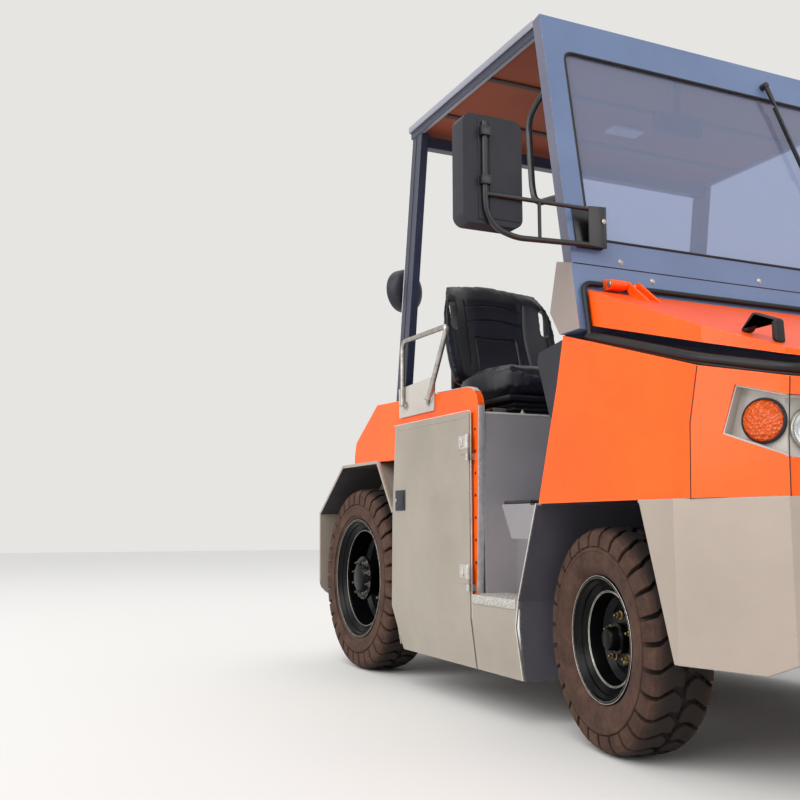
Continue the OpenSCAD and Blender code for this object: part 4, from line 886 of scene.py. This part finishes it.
cap = turnedPiece([(0.3, 0), (0.3, 11), (20, 11), (24, 9.5), (26, 6), (26, 0)], origin, (0, 0, 1), 32)
arm = joined([cap] + [wiperBar(*bar) for bar in wiperBars["wiperArm"]])
rubber = joined([wiperBar(*bar) for bar in wiperBars["wiperRubber"]])
addPiece(settle(arm, wiperMove), "wiperArm", "blackMetal", stands="wiper", body="wiper")
addPiece(settle(rubber, wiperMove), "wiperRubber", "sealRubber", body="wiper")

# mirrors: bracket, bent tubes, panel on the back, glass facing the driver
tubeD = 56.8
arm = tubePiece([(-616, tubeD, 1368), (-905, tubeD, 1356), (-962, tubeD, 1372), (-994, tubeD, 1406),
                 (-1000, tubeD, 1450), (-1000, tubeD, 1668)], 8, 26, fine=4)
brace = tubePiece([(-616, tubeD, 1470), (-1000, tubeD, 1466)], 6)
strut = tubePiece([(-830, tubeD, 1359), (-830, tubeD, 1467)], 5)
wing = platePiece([(-622, tubeD - 9, 1362), (-622, 72.5, 1358), (-622, 94, 1482), (-622, tubeD - 9, 1478)],
                  Vector((0.007, 0, 0)))
foot = platePiece([glassAt(x, z, 0.3) for x, z in ((-700, 1358), (-615, 1358), (-615, 1482), (-700, 1482))],
                  wsOut * 0.005, 1.2)
cover = platePiece([(x, tubeD - 8, z) for x, z in ((-672, 1361), (-612, 1359), (-612, 1480), (-672, 1476))],
                   Vector((0, 0.005, 0)), 1.5, 3)
clamps = [blockPiece((-1015, 44, z), (-985, 66, z + 26), 2.5) for z in (1490, 1626)]
addPiece(bothSides(arm, brace, strut, wing, foot, cover, *clamps), "mirrorTubes", "blackMetal",
         stands="mirror_arms")
addPiece(bothSides(domeScrew((-622, tubeD - 9.4, 1436), (0, -1, 0), 6)), "mirrorBolts", "zincSteel")
panel = blockPiece((-982, 63.6, 1402), (-886, 67, 1673), 1.4, 3)
strip = blockPiece((-1016, 62.8, 1396), (-991, 67, 1679), 1.6, 3)
addPiece(bothSides(panel, strip), "mirrorPanels", "blackPlastic")
addPiece(bothSides(blockPiece((-1055, 124.6, 1394), (-885, 126.8, 1681), 1.0)), "mirrorGlass", "mirrorChrome")
addPiece(blockPiece((-232, 282.5, 1867), (-58, 285, 1918), 1.0), "innerMirrorGlass", "mirrorChrome")

# grips behind the pillars
grip = [(-695, d, z) for d, z in ((203, 1892), (262, 1866), (304, 1836), (316, 1800), (302, 1610), (290, 1568),
                                  (262, 1548), (142, 1530))]
addPiece(bothSides(tubePiece(grip, 10, 30, fine=5)), "pillarGrips", "blackMetal", stands="cab_grips")

# work lamps behind the posts, turned a little outward
lampTurn = math.radians(25)
lampAxis = (-math.sin(lampTurn), math.cos(lampTurn), 0)
workLampParts = {
    "workLampShells": [(-22, 0), (-22, 40), (-18, 52), (-6, 72), (2, 81), (10, 84), (46, 84), (50, 82), (50, 76),
                       (44, 74), (30, 50), (24, 0)],
    "workLampLenses": [(43, 74.5), (46, 74.5), (48.5, 60), (49.6, 30), (49.8, 0), (47.4, 0), (46, 30), (43, 60),
                       (43, 74.5)],
    "workLampBowls": [(41, 73), (41.6, 73), (31, 48), (25.4, 10), (25.4, 0), (24.6, 0), (24.6, 10), (30, 49.5),
                      (41, 73)],
}
shell, lens, bowl = [turnedPiece(profile, (-652, 1276, 1512), lampAxis, 64) for profile in workLampParts.values()]
bar = blockPiece((-700, 1234, 1500), (-678, 1288, 1524), 2)
addPiece(bothSides(shell, bar), "workLampShells", "blackPlastic", stands="work_lamps")
addPiece(bothSides(lens), "workLampLenses", "clearLens")
addPiece(bothSides(bowl), "workLampBowls", "mirrorChrome")

# tail lamps: a base with three fields, and a round reflector
for side, tag in sides:
    addPiece(sideBlock(side, (500, 2130.2, 500), (640, 2139, 580), 3), "tailBase." + tag, "blackPlastic",
             stands="tail_lamps" if side < 0 else None)
    for finish, near, far in (("redLens", 502, 540), ("amberLens", 542, 590), ("redLens", 592, 638)):
        addPiece(sideBlock(side, (near, 2137, 505), (far, 2149, 575), 3.5, 3), "tailField." + tag + str(near), finish)
    addPiece(turnedPiece([(0, 0), (0, 24), (5, 24), (7, 21), (7.5, 0)], (side * 430, 2130.2, 540), (0, 1, 0), 40),
             "reflector." + tag, "redLens")

# tow coupling's bolts
bolts = [hexBolt((x, 2145, z), (0, 1, 0), 22, 12) for x in (-105, 105) for z in (312, 398)]
addPiece(bolts, "couplingBolts", "zincSteel")
print("lamps, mirrors and coupling dressed")

# dash: gauge pod, switches, key
podSide = [(230, 176, 1112), (230, 196, 1158), (230, 214, 1160), (230, 286, 1116), (230, 291, 1096)]
addPiece(platePiece(podSide, Vector((0.2, 0, 0)), 5, 3), "gaugePod", "blackPlastic")
podNormal = Vector((0, 44, 72)).normalized()
for k, x in enumerate((288, 372)):
    spot = place(x, 250, 1138.2)
    ring = turnedPiece([(0, 30), (0, 34), (3.5, 34), (4.5, 32.5), (3, 30), (0, 30)], spot, podNormal, 40)
    face = turnedPiece([(0, 0), (0, 30), (1.2, 30), (1.2, 0)], spot, podNormal, 40)
    pivot = spot + podNormal * 0.002
    needle = tubePiece([pivot, pivot + Vector((0.018 * (1 - 2 * k), 0.008, -0.005))], 0.7)
    for piece, label, finish in ((ring, "gaugeRing", "zincSteel"), (face, "gaugeFace", "dialWhite"),
                                 (needle, "gaugeNeedle", "redLens")):
        addPiece(piece, label + str(k), finish)
switches = [blockPiece((x, 232, 1103.3), (x + 22, 266, 1113), 2) for x in range(-120, 41, 32)]
addPiece(switches, "rockerSwitches", "blackPlastic")
key = turnedPiece([(-2, 0), (-2, 13), (4, 13), (5.5, 11), (5.5, 4), (3, 3), (3, 0)], (130, 250, 1103),
                  (0, 0.14, 0.99), 32)
addPiece(key, "keySwitch", "zincSteel")
columnTilt = math.radians(35)
columnAxis = Vector((0, math.sin(columnTilt), math.cos(columnTilt)))
boss = turnedPiece([(-2, 0), (-2, 24), (3, 24), (7, 20), (9, 8), (9.4, 0)], place(330, 405, 1170) + columnAxis * 0.04,
                   columnAxis, 40)
addPiece(boss, "hornButton", "sealRubber", body="steering_wheel")

# roof lining: cross trim and a flat lamp
trims = [blockPiece((-690, d, 2074), (690, d + 26, 2080.2)) for d in (560, 880)]
addPiece(trims, "liningTrims", "liningTrim")
addPiece(blockPiece((-70, 700, 2068), (70, 770, 2080), 4, 3), "domeLamp", "frostedBulb")
print("cab dressed")

# seats: backs with wings and a slot in each, and dished cushions, in padded vinyl
seat = {"centre": 330, "half": 248, "puff": 4.0, "voxel": 0.006, "backCap": 7, "cushionCap": 9, "wing": 92,
        "ironing": 12, "steps": 20, "fill": 0.85, "slot": (204, 1190, 1392), "slotRadius": 17, "slotStretch": 40,
        "seamWidth": 3.2}


# A cube cut fine in edit mode, then each point given its place by shape(u, v, w), all from -1 to 1
def paddedBlock(cuts, shape):
    makeActive()
    bpy.ops.mesh.primitive_cube_add(size=2, location=(0, 0, 0))
    piece = bpy.context.object
    reshape(piece, (bpy.ops.mesh.subdivide, {"number_cuts": cuts}))
    for vertex in piece.data.vertices:
        vertex.co = shape(*vertex.co)
    fixNormals(piece)
    return piece


def roundedSquare(u, v, pull):
    return u * math.sqrt(1 - pull * v * v / 2), v * math.sqrt(1 - pull * u * u / 2)


def backShape(u, v, w):
    a, b = roundedSquare(u, v, 0.5)
    tall = (b + 1) / 2
    rim = max(abs(u), abs(v)) ** 7
    narrow = 1 - 0.05 * ease(tall, 0.6, 1.0) - 0.03 * ease(1 - tall, 0.6, 1.0)
    front = 1134 + 82 * tall + 20 * ease(tall, 0.8, 1.0)
    rear = 1196 + 62 * tall
    bulge = 15 * ease(1 - abs(tall - 0.25) / 0.3, 0, 1) * (1 - abs(a) ** 2)
    wings = seat["wing"] * ease(abs(a), 0.35, 1.08) * (1 - 0.4 * ease(tall, 0.7, 1.0))
    middle, half = (front + rear) / 2, (rear - front) / 2
    depth = middle + w * half * (1 - 0.42 * rim) - wings - (bulge if w < 0 else 0)
    return place(seat["half"] * a * narrow, depth, 1092 + 464 * tall)


def cushionShape(u, v, w):
    a, b = roundedSquare(u, v, 0.8)
    along = (b + 1) / 2
    rim = max(abs(u), abs(v)) ** 7
    top = 1148 - 14 * ease(along, 0.0, 0.9) - 26 * ease(1 - along, 0.86, 1.0)
    bolsters = 15 * ease(abs(a), 0.5, 0.92)
    low = 1026 + 24 * ease(1 - along, 0.75, 1.0)
    height = (top + bolsters - 4) if w > 0 else low
    return place(seat["half"] * a, 684 + 480 * along, height + (-w) * 34 * rim)


# Air pressure inside swells the cover; a cap keeps it near the drawn shape
def puffed(piece, cap):
    applyModifier(piece, "REMESH", mode="VOXEL", voxel_size=seat["voxel"])
    before = [vertex.co.copy() for vertex in piece.data.vertices]
    cloth = piece.modifiers.new("cover", "CLOTH")
    cloth.settings.use_pressure = True
    cloth.settings.uniform_pressure_force = seat["puff"]
    cloth.settings.effector_weights.gravity = 0
    scene = bpy.context.scene
    for step in range(seat["steps"]):
        scene.frame_set(step + 1)
    makeActive(piece)
    bpy.ops.object.modifier_apply(modifier=cloth.name)
    scene.frame_set(1)
    for vertex, old in zip(piece.data.vertices, before):
        moved = vertex.co - old
        if moved.length > cap / 1000:
            vertex.co = old + moved.normalized() * (cap / 1000)
    applyModifier(piece, "SMOOTH", factor=0.6, iterations=seat["ironing"])
    return piece


# Pressed lines of stitching: distance(|x|, d, z) tells how far in millimetres a point is from the nearest line
def pressSeams(piece, distance, depth, inward):
    width = seat["seamWidth"]
    for vertex in piece.data.vertices:
        x, y, z = vertex.co * 1000
        gap = distance(abs(x), y - tug["frontAxleY"] * 1000, z)
        if gap < width * 2.5:
            vertex.co += Vector(inward) * (depth / 1000) * math.exp(-(gap / width) ** 2)


farAway = 99


def backSeams(x, d, z):
    if d > 1190 + 0.16 * (z - 1096):
        return farAway
    lines = []
    if 1168 < z < 1318:
        lines.append(abs(x - 92))
    if x < 92:
        lines += [abs(z - 1168), abs(z - 1318 - 0.0006 * x * x)]
    arch = 1398 - 0.0011 * x * x
    if x < 128:
        lines += [abs(z - arch), abs(z - arch - 62)]
    if 1200 < z < 1470:
        lines.append(abs(x - 128 - 0.0012 * (z - 1335) ** 2 * 0.35))
    return min(lines, default=farAway)


def cushionSeams(x, d, z):
    if z < 1112 or d > 1120:
        return farAway
    lines = [abs(x - 132)] if d > 770 else []
    if x < 132:
        lines += [abs(d - 770), abs(d - 880), abs(d - 990)]
    return min(lines, default=farAway)


back = puffed(paddedBlock(11, backShape), seat["backCap"])
for side in (-1, 1):
    makeActive()
    x, d, z = seat["slot"]
    bpy.ops.mesh.primitive_cylinder_add(vertices=40, radius=seat["slotRadius"] / 1000, depth=0.3,
                                        rotation=(math.pi / 2, 0, 0), location=place(side * x, d, z))
    cutter = bpy.context.object
    bpy.ops.object.transform_apply(location=True, rotation=True, scale=True)
    for vertex in cutter.data.vertices:
        vertex.co.z += math.copysign(seat["slotStretch"], vertex.co.z * 1000 - z) / 1000
    applyModifier(back, "BOOLEAN", operation="DIFFERENCE", object=cutter, solver="EXACT")
    bpy.data.objects.remove(cutter)
cushion = puffed(paddedBlock(11, cushionShape), seat["cushionCap"])
for piece in (back, cushion):
    applyModifier(piece, "SUBSURF", levels=1, render_levels=1)
pressSeams(back, backSeams, 4.2, (0, 1, 0))
pressSeams(cushion, cushionSeams, 4.0, (0, 0, -1))
# the bellows' folds are stacked plates
bellows = [(188, 722, 956, 1118, 974, 3), (176, 734, 972, 1106, 1020, 6), (184, 728, 980, 1112, 988, 3.5),
           (184, 728, 997, 1112, 1005, 3.5), (206, 720, 1014, 1150, 1034, 5)]
base = joined([blockPiece((-half, front, low), (half, rear, high), rounding)
               for half, front, low, rear, high, rounding in bellows])
shell = joined([blockPiece((-150, 1236, 1120), (150, 1262, 1300), 8, 3),
                blockPiece((-60, 1180, 1060), (60, 1250, 1150), 8, 3)])
seatParts = ((back, "seatBack", "seatVinyl", "seat_vinyl"), (cushion, "seatCushion", "seatVinyl", "seat_vinyl"),
             (base, "seatBellows", "gasketRubber", "black_plastic"),
             (shell, "seatShell", "blackPlastic", "black_plastic"))
for side, tag in sides:
    for model, label, finish, slot in seatParts:
        padded = slot == "seat_vinyl"
        piece = settle(duplicate(model), Matrix.Translation((side * seat["centre"] / 1000, 0, 0)))
        smoothBy(piece, 60 if padded else 35)
        addPiece(piece, label + "." + tag, finish, "seats" if side < 0 and label == "seatBack" else None)
for model in (back, cushion, base, shell):
    bpy.data.objects.remove(model)
print("seats sewn")

# painted highlights along the wheel housing's edge and the seat box's top edge, and the box's slotted catch and bolt
for side, tag in sides:
    edge = [(side * 725, 266, 649), (side * 725, 373.5, 366), (side * 725, 388, 288), (side * 706.5, 382, 136)]
    addPiece(tubePiece(edge, 1.9, 3, fine=2), "houseHighlight." + tag, "brightEdge")
    addPiece(sideBlock(side, (160, 633.6, 950.5), (681, 645, 957.2), 1.6), "seatBoxHighlight." + tag, "brightEdge")
    catch = [sideBlock(side, (590, d, z), (636, rear, top), 1)
             for d, z, rear, top in ((655, 956, 659, 972), (700, 956, 704, 972), (655, 970, 704, 974),
                                     (640, 956, 657, 959))]
    bolt = hexBolt((side * 520, 662, 957), (0, 0, 1), 13, 8, 7)
    addPiece(catch + [bolt], "seatBoxCatch." + tag, "zincSteel")

# hood: thin dark seams where the side panel folds in and where it meets the front
seams = [tubePiece(seam, 1.3, fine=1) for seam in (
    [(-650.2, -602.6, 566), (-650.2, -606.4, 770), (-640.4, -608.4, 902)],
    [(-725.2, -383.2, 646), (-725.2, -390.2, 819), (-713.2, -407.2, 950)])]
addPiece(bothSides(*seams), "hoodSeams", "sealRubber")

# hood gasket: a fat hollow bulb below and round the sides, a thinner one across the cowl
gasket = {"bulb": 13.0, "lip": 6.5, "thin": 8.0, "rise": 1250, "foot": 1095, "lift": 9}
halfRing = [(-695, 30, 1099), (-695, -402, 969.5), (-626, -592, 922), (-492, -633, 915.5)]
ring = halfRing + [(-x, d, z) for x, d, z in reversed(halfRing)]
parts = [tubePiece(ring, gasket["bulb"], 42, fine=6),
         tubePiece([(x, d - 2, z - 14) for x, d, z in ring], gasket["lip"], 42)]
for side in (-1, 1):
    corner = [glassAt(side * x, gasket[level], gasket["lift"]) for x, level in ((699, "foot"), (699, "rise"),
                                                                            (637, "rise"))]
    parts.append(tubePiece(corner, gasket["thin"], 45, fine=5))
parts.append(tubePiece([glassAt(x, gasket["rise"], gasket["lift"]) for x in (-565, 565)], gasket["thin"], fine=5))
addPiece(parts, "hoodGasketBulb", "gasketRubber", stands="hood_gasket")

# rear posts: a painted highlight along the rear edge and a dark strip down the outer face as painted shade in its
# groove; a dark line where the frame stands on the cowl
edge = tubePiece([(-706.4, 1282, 1066), (-706.4, 1127, 2064)], 1.8, fine=2)
groove = tubePiece([(-707.1, 1245, 1066), (-707.1, 1090, 2064)], 1.6, fine=2)
addPiece(bothSides(edge), "postHighlights", "brightEdge")
addPiece(bothSides(groove), "postGrooveShade", "gasketRubber")
addPiece(tubePiece([onGlass(-717, 0, -0.2), onGlass(717, 0, -0.2)], 1.7, fine=1), "frameSeam", "gasketRubber")
print("trim fitted")

# floor and light
bpy.ops.mesh.primitive_plane_add(size=40, location=(0, 0, 0))
floor = bpy.context.object
floor.name = "studioFloor"
floor.data.materials.append(newMaterial("studioFloor", {"Base Color": toLinear("dcdad6"), "Roughness": 0.7})[0])


def aimed(light, way):
    light.rotation_euler = Vector(way).to_track_quat("-Z", "Y").to_euler()


lamps = {
    # name: place, size, watts, aim
    "sideSoftbox": ((-9.0, 1.0, 4.0), 6.0, 330, (0, 0.2, 0.7)),
    "frontSoftbox": ((3.0, -9.5, 4.5), 6.0, 190, (0, -0.6, 0.9)),
    "topSoftbox": ((0.6, 2.0, 9.0), 9.0, 230, (0, 0, 1.0)),
}
for name, (spotAt, size, watts, aim) in lamps.items():
    bpy.ops.object.light_add(type="AREA", location=spotAt)
    lamp = bpy.context.object
    lamp.name = name
    lamp.data.size = size
    lamp.data.energy = watts
    aimed(lamp, Vector(aim) - Vector(spotAt))

# one broad overcast key from the front right, the same all over the floor
bpy.ops.object.light_add(type="SUN", location=(-6, -5, 9))
keyLight = bpy.context.object
keyLight.name = "overcastKey"
keyLight.data.energy = 1.8
keyLight.data.angle = math.radians(50)
aimed(keyLight, (6, 4.2, -7))

world = bpy.data.worlds.new("studioWorld")
world.use_nodes = True
bpy.context.scene.world = world
world.node_tree.nodes.clear()
skyLight = addNode(world, "Background", {"Color": toLinear("eef1f6"), "Strength": 0.62})
backdrop = addNode(world, "Background", {"Color": toLinear("e6e5e2"), "Strength": 1.0})
# the camera, what shines and what is seen through glass meet the plain backdrop; light itself comes from the sky
rays = addNode(world, "LightPath")
mirrored = mathNode(world, "MAXIMUM", (rays, "Is Camera Ray"), (rays, "Is Glossy Ray"))
seen = mathNode(world, "MAXIMUM", (mirrored, 0), (rays, "Is Transmission Ray"))
pick = addNode(world, "MixShader", links={0: (seen, 0), 1: (skyLight, 0), 2: (backdrop, 0)})
addNode(world, "OutputWorld", links={"Surface": (pick, 0)})
print("studio lit")
